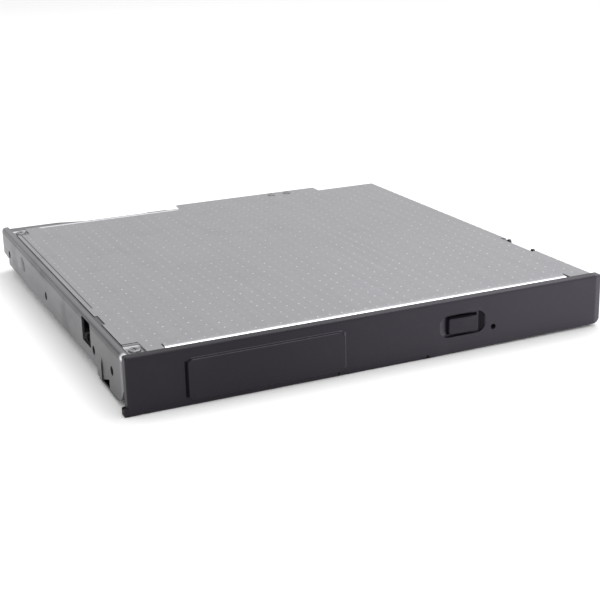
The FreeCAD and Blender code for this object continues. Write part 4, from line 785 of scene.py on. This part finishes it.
def coated_lens():
    material, tree, shader = new_material("lens_glass", lens_blue, 0.0, 0.04)
    shader.inputs["IOR"].default_value = 1.6
    shader.inputs["Coat Weight"].default_value = 1.0
    shader.inputs["Coat Tint"].default_value = (0.55, 0.45, 0.95, 1)
    shader.inputs["Transmission Weight"].default_value = 0.35
    vector = object_vector(tree)
    marks = use_group(tree, handling, vector)
    tone = add_mix(tree, marks["Cloud"], lens_blue, lens_violet)
    tree.links.new(tone, shader.inputs["Base Color"])
    rough = grow(tree, 0.03, marks["Smudge"], amount=0.1)
    tree.links.new(rough, shader.inputs["Roughness"])
    return material


finishes["lens_glass"] = coated_lens()
print("finishes", len(finishes))

# %% [markdown]
# ## Give every CAD part its finish
#
# The record already says which finish each part takes, so the assignment is a loop over it rather than
# a list to keep in step by hand. The meshes of the CAD parts are left as they are.

# %% Assign the finishes
slots = {part["node"]: part["material_slot"] for part in frame["record"]["subparts"]}
for name, node in frame["nodes"].items():
    node.data.materials.clear()
    node.data.materials.append(finishes[slots[name]])
print("parts with a finish", len(slots))

# %% [markdown]
# ## Tools for added pieces
#
# Pieces are made the way they would be by hand: a simple outline, an operator or modifier that gives it
# form, and then the transforms applied, so that the finished mesh holds its own place and the object
# stays at the origin, unturned.

# %% Outlines and ridges
def clear_selection():
    bpy.ops.object.select_all(action="DESELECT")


def pick(obj):
    clear_selection()
    obj.select_set(True)
    bpy.context.view_layer.objects.active = obj


def outline_object(name, points):
    """A mesh of one closed outline, as edges through the points."""
    mesh = bpy.data.meshes.new(name)
    mesh.from_pydata(points, [(i, (i + 1) % len(points)) for i in range(len(points))], [])
    obj = bpy.data.objects.new(name, mesh)
    scene.collection.objects.link(obj)
    return obj


def helix_ridge(name, points, lead, turns, steps):
    """Screws an outline round the Z axis, climbing by the lead at each turn."""
    obj = outline_object(name, points)
    pick(obj)
    screw = obj.modifiers.new("screw", "SCREW")
    screw.axis = "Z"
    screw.screw_offset = lead
    screw.iterations = turns
    screw.steps = steps
    screw.render_steps = steps
    screw.use_smooth_shade = False
    bpy.ops.object.modifier_apply(modifier="screw")
    bpy.ops.object.mode_set(mode="EDIT")
    bpy.ops.mesh.select_all(action="SELECT")
    bpy.ops.mesh.remove_doubles(threshold=1e-7)
    bpy.ops.mesh.select_all(action="DESELECT")
    bpy.ops.mesh.select_non_manifold()
    bpy.ops.mesh.edge_face_add()
    bpy.ops.mesh.select_all(action="SELECT")
    bpy.ops.mesh.normals_make_consistent(inside=False)
    bpy.ops.object.mode_set(mode="OBJECT")
    return obj


print("outline helpers ready")

# %% Cubes and joined pieces
def brick(name, centre, size, bevel=0.0):
    """A cube stretched to a size in millimetres, with its edges rounded if asked."""
    clear_selection()
    bpy.ops.mesh.primitive_cube_add(size=1, location=centre)
    obj = bpy.context.object
    obj.name = name
    obj.scale = [side * MM for side in size]
    bpy.ops.object.transform_apply(location=True, rotation=True, scale=True)
    if bevel:
        bpy.ops.object.mode_set(mode="EDIT")
        bpy.ops.mesh.select_all(action="SELECT")
        bpy.ops.mesh.bevel(offset=bevel * MM, segments=2)
        bpy.ops.object.mode_set(mode="OBJECT")
    return obj


def join(name, objects):
    clear_selection()
    for obj in objects:
        obj.select_set(True)
    bpy.context.view_layer.objects.active = objects[0]
    bpy.ops.object.join()
    objects[0].name = name
    return objects[0]


print("cube helpers ready")

# %% Set a piece down and dress it
def set_down(obj, origin, axis):
    """Turns a piece made along Z onto an axis and moves it to its place, inside the mesh."""
    turn = Vector((0, 0, 1)).rotation_difference(axis).to_matrix().to_4x4()
    obj.data.transform(Matrix.Translation(origin) @ turn)
    obj.data.update()


def dress(obj, slot, body=None, angle=30):
    """Gives a finished piece its finish, its shading and the body that it moves with."""
    pick(obj)
    bpy.ops.object.transform_apply(location=True, rotation=True, scale=True)
    obj.data.materials.clear()
    obj.data.materials.append(finishes[slot])
    bpy.ops.object.shade_smooth_by_angle(angle=math.radians(angle))
    if body:
        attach(obj, body)
    print(obj.name, len(obj.data.polygons), "faces on", body or "two bodies")


print("a piece can be dressed in", len(finishes), "finishes")

# %% [markdown]
# ## Threads
#
# The lead screw that drives the pickup has a thread of 3 mm lead, and the eight side holes are tapped
# M2. CAD keeps both as plain cylinders, because a helix is costly to check and changes no fit. A ridge
# whose outline is screwed round the axis gives the look of either. The taps are near black, a painted
# shade, so that the holes stay as dark as deep holes look.

# %% Thread of the lead screw
screw_radius = 1.1 * MM
thread_lead = 3.0 * MM
thread_height = 0.12 * MM
thread_half_width = 0.5 * MM
thread_root = 0.02 * MM
thread_crest = 0.3
thread_turns = 14
thread_steps = 20
thread_start_u = 14.2
screw_v = 16.0
screw_z = 4.9
ridge = [
    (screw_radius - thread_root, 0, -thread_half_width),
    (screw_radius + thread_height, 0, -thread_half_width * thread_crest),
    (screw_radius + thread_height, 0, thread_half_width * thread_crest),
    (screw_radius - thread_root, 0, thread_half_width),
]
thread = helix_ridge("lead_screw_thread", ridge, thread_lead, thread_turns, thread_steps)
lane_axis = lane_place(1, 0, 0) - lane_place(0, 0, 0)
set_down(thread, lane_place(thread_start_u, screw_v, screw_z), lane_axis.normalized())
dress(thread, "bright_steel", "lead_screw")

# %% Threads of the side holes
hole_radius = 0.8 * MM
hole_y = (9.2, 24.3, 71.7, 117.8)
hole_z = 6.1
wall_x = 64.0
tap_pitch = 0.4 * MM
tap_height = 0.1 * MM
tap_root = 0.01 * MM
tap_half_width = 0.35 * tap_pitch
tap_turns = 2
tap_depth = 0.95
tap_ridge = [
    (hole_radius + tap_root, 0, -tap_half_width),
    (hole_radius - tap_height, 0, 0),
    (hole_radius + tap_root, 0, tap_half_width),
]
for side, word in ((-1, "left"), (1, "right")):
    for index, y in enumerate(hole_y):
        tap = helix_ridge(f"{word}_hole_thread_{index + 1}", tap_ridge, tap_pitch, tap_turns, thread_steps)
        set_down(tap, place(side * (wall_x - tap_depth), y, hole_z), Vector((side, 0, 0)))
        # Painted shade: the taps are near black so that the holes look deep and dark.
        dress(tap, "painted_shade_black", "chassis")

# %% [markdown]
# ## Small parts on the rear board
#
# Beside the bay connector the rear board carries a few surface-mounted resistors: small black bodies,
# each with a bright solder cap at both ends. Bodies and caps are cubes stretched to size, so that a loop
# over their places makes them all.

# %% Resistors and their solder
chip_length = 1.6
chip_width = 0.8
chip_height = 0.6
cap_length = 0.3
bare_length = chip_length - cap_length
cap_size = (cap_length, chip_width + 0.06, chip_height + 0.04)
board_top = 2.4
chip_rows_y = (119.9, 121.9, 123.9)
chip_columns_x = (-7.6, 43.0)
chip_bodies = []
solder_caps = []
for x in chip_columns_x:
    for y in chip_rows_y:
        middle = place(x, y, board_top + chip_height / 2)
        chip_bodies.append(brick("chip", middle, (bare_length, chip_width, chip_height), 0.05))
        for side in (-1, 1):
            end = middle + Vector((side * bare_length / 2 * MM, 0, 0))
            solder_caps.append(brick("solder", end, cap_size, 0.06))
dress(join("rear_board_chips", chip_bodies), "chip_plastic", "chassis")
dress(join("rear_board_solder", solder_caps), "screw_steel", "chassis")

# %% [markdown]
# ## Suspension of the lens
#
# The lens holder floats on four fine wires, two at each side, anchored in a block on the sled. Only their
# stiffness holds it, which is why a pickup can follow a warped disc. The wires bend between the two
# bodies, and are joined into one piece that is attached to neither.

# %% Anchor block and wires
pickup_u = 24.0
anchor_u = pickup_u + 5.4
anchor_size = (0.8, 8.0, 1.0)
anchor_z = 6.75
wire_radius = 0.05 * MM
wire_v = 3.7
wire_levels = (6.62, 7.05)
holder_end_u = pickup_u + 3.5


def lane_brick(name, u, v, z, size, bevel):
    """A brick whose sides follow the pickup's lane."""
    obj = brick(name, (0, 0, 0), size, bevel)
    obj.data.transform(Matrix.Translation(lane_place(u, v, z)) @ Matrix.Rotation(lane_angle, 4, "Z"))
    return obj


def wire(name, start, end, radius):
    """A round wire between two points, as a cylinder turned onto the line."""
    clear_selection()
    length = (end - start).length
    bpy.ops.mesh.primitive_cylinder_add(vertices=8, radius=radius, depth=length)
    obj = bpy.context.object
    obj.name = name
    bpy.ops.object.mode_set(mode="EDIT")
    bpy.ops.mesh.select_all(action="SELECT")
    bpy.ops.mesh.subdivide(number_cuts=3)
    bpy.ops.object.mode_set(mode="OBJECT")
    set_down(obj, (start + end) / 2, (end - start).normalized())
    return obj


anchor = lane_brick("lens_wire_anchor", anchor_u, 0, anchor_z, anchor_size, 0.1)
dress(anchor, "holder_plastic", "pickup")
wires = []
for side in (-1, 1):
    for z in wire_levels:
        start = lane_place(holder_end_u + 0.05, side * wire_v, z)
        end = lane_place(anchor_u - anchor_size[0] / 2, side * wire_v, z)
        wires.append(wire("wire", start, end, wire_radius))
suspension = join("lens_wires", wires)
dress(suspension, "contact_gold")
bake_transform(suspension)

# %% [markdown]
# ## Marks of assembly
#
# Parts riveted to the pan leave flat heads under it. The left wall has a shallow lanced dimple near its
# rear, which is half of a flattened ball over its cut, a thin black box of painted shade. The side holes
# are drawn inward, and the shade in each funnel is painted as a dark rim: a thin ring flattened against
# the wall.

# %% Rivet heads under the pan
rivet_radius = 1.3
rivet_height = 0.18
rivet_sunk = 0.02
rivet_places = ((-11.0, 121.9), (45.6, 121.9), (44.0, 14.0), (52.0, 120.3))


def rivet_head(x, y):
    clear_selection()
    bpy.ops.mesh.primitive_cylinder_add(vertices=32, radius=rivet_radius * MM, depth=rivet_height * MM,
                                        location=place(x, y, rivet_sunk - rivet_height / 2))
    obj = bpy.context.object
    bpy.ops.object.mode_set(mode="EDIT")
    bpy.ops.mesh.select_all(action="SELECT")
    bpy.ops.mesh.bevel(offset=rivet_height * 0.4 * MM, segments=3)
    bpy.ops.object.mode_set(mode="OBJECT")
    return obj


dress(join("pan_rivet_heads", [rivet_head(x, y) for x, y in rivet_places]), "pan_steel", "chassis")

# %% Lanced dimple in the left wall
dimple_y = 100.5
dimple_foot = 6.2
dimple_radius = 3.6
dimple_height = 0.55
dimple_sunk = 0.05
cut_size = (0.04, 4.6, 0.28)
cut_drop = 0.1
clear_selection()
bpy.ops.mesh.primitive_uv_sphere_add(segments=48, ring_count=24, radius=dimple_radius * MM)
dimple = bpy.context.object
dimple.name = "wall_dimple"
dimple.scale = (dimple_height / dimple_radius, 1, 1)
bpy.ops.object.transform_apply(location=False, rotation=False, scale=True)
bpy.ops.object.mode_set(mode="EDIT")
bpy.ops.mesh.select_all(action="SELECT")
bpy.ops.mesh.bisect(plane_co=(0, 0, 0), plane_no=(0, 0, 1), use_fill=True, clear_inner=True)
bpy.ops.object.mode_set(mode="OBJECT")
dimple.location = place(dimple_sunk - wall_x, dimple_y, dimple_foot)
dress(dimple, "pan_steel", "chassis", angle=40)
# Painted shade: a thin black box stands for the shade in the dimple's cut.
cut_shade = brick("wall_dimple_cut_shade", place(-wall_x, dimple_y, dimple_foot - cut_drop), cut_size)
dress(cut_shade, "painted_shade_black", "chassis")

# %% Painted shade rims of the side holes
rim_radius = 0.97 * MM
rim_thickness = 0.17 * MM
rim_flatness = 0.12
for side, word in ((-1, "left"), (1, "right")):
    shade_rims = []
    for y in hole_y:
        clear_selection()
        bpy.ops.mesh.primitive_torus_add(major_radius=rim_radius, minor_radius=rim_thickness,
                                         major_segments=40, minor_segments=8,
                                         rotation=(0, math.pi / 2, 0))
        rim = bpy.context.object
        bpy.ops.object.transform_apply(location=False, rotation=True, scale=False)
        rim.scale = (rim_flatness, 1, 1)
        rim.location = place(side * wall_x, y, hole_z)
        bpy.ops.object.transform_apply(location=True, rotation=False, scale=True)
        shade_rims.append(rim)
    # Painted shade: each dark ring stands for the shade in a hole's drawn funnel.
    dress(join(f"{word}_hole_shade_rims", shade_rims), "painted_shade_black", "chassis", angle=60)

# %% [markdown]
# ## Camera
#
# The camera repeats the one that took the reference picture: a moderately long lens, from the front
# left and above, turned a little so that the drive leans in the frame.

# %% Camera
camera_data = bpy.data.cameras.new("camera")
camera = bpy.data.objects.new("camera", camera_data)
scene.collection.objects.link(camera)
camera_right = Vector((0.91294687, -0.40712004, -0.02795165))
camera_up = Vector((0.14500796, 0.25962224, 0.95476122))
camera_back = camera_right.cross(camera_up)
camera_location = (-0.13300, -0.30981, 0.10889)
turn = Matrix((camera_right, camera_up, camera_back)).transposed()
camera.matrix_world = Matrix.Translation(camera_location) @ turn.to_4x4()
camera_data.sensor_width = 36
camera_data.lens = 73.84
camera_data.shift_x = 0.03358
camera_data.shift_y = -0.0401
camera_data.clip_start = 0.01
scene.camera = camera
print("camera set at", camera_location)

# %% [markdown]
# ## Floor and light
#
# The drive lies on a plain pale floor, just under the bezel's lower edge, which hangs below the chassis.
# A soft light above it on the right gives the shape, one in front opens the shadow, and an even white
# world fills the rest. The world lights the drive a little less than it shows to the camera, so that the
# background stays plain white.

# %% Floor
floor_z = -0.00106
floor_dark = (0.955, 0.955, 0.955)
floor_light = (0.975, 0.975, 0.975)
floor_finish, floor_tree, floor_shader = new_material("floor_pale", (0.92, 0.92, 0.92), 0.0, 0.8)
floor_vector = object_vector(floor_tree)
floor_clouds = add_noise(floor_tree, floor_vector, 3, detail=2)
floor_tone = add_mix(floor_tree, floor_clouds, floor_dark, floor_light)
floor_tree.links.new(floor_tone, floor_shader.inputs["Base Color"])
clear_selection()
bpy.ops.mesh.primitive_plane_add(size=6, location=(0, 0, floor_z))
floor = bpy.context.object
floor.name = "floor"
floor.data.materials.append(floor_finish)
print("floor at", floor_z)

# %% Lights
def soft_light(name, location, size, power):
    """A square area light that faces the middle of the drive."""
    data = bpy.data.lights.new(name, "AREA")
    data.size = size
    data.energy = power
    light = bpy.data.objects.new(name, data)
    light.location = location
    light.rotation_euler = (-Vector(location)).to_track_quat("-Z", "Y").to_euler()
    scene.collection.objects.link(light)


soft_light("light_above_right", (0.34, 0.20, 0.80), size=0.6, power=3.4)
soft_light("light_front_left", (-0.35, -1.0, 0.8), size=1.0, power=5.5)
print("lights", [light.name for light in bpy.data.lights])

# %% World
world_light = 0.88
world_seen = 1.0
world = bpy.data.worlds.new("world")
scene.world = world
world.use_nodes = True
background = world.node_tree.nodes["Background"]
path = world.node_tree.nodes.new("ShaderNodeLightPath")
strength = world.node_tree.nodes.new("ShaderNodeMapRange")
strength.inputs["To Min"].default_value = world_light
strength.inputs["To Max"].default_value = world_seen
world.node_tree.links.new(path.outputs["Is Camera Ray"], strength.inputs["Value"])
world.node_tree.links.new(strength.outputs["Result"], background.inputs["Strength"])
background.inputs["Color"].default_value = (1, 1, 1, 1)
scene.view_settings.view_transform = "Standard"
print("world strength", world_light, "and", world_seen, "where the camera sees it")
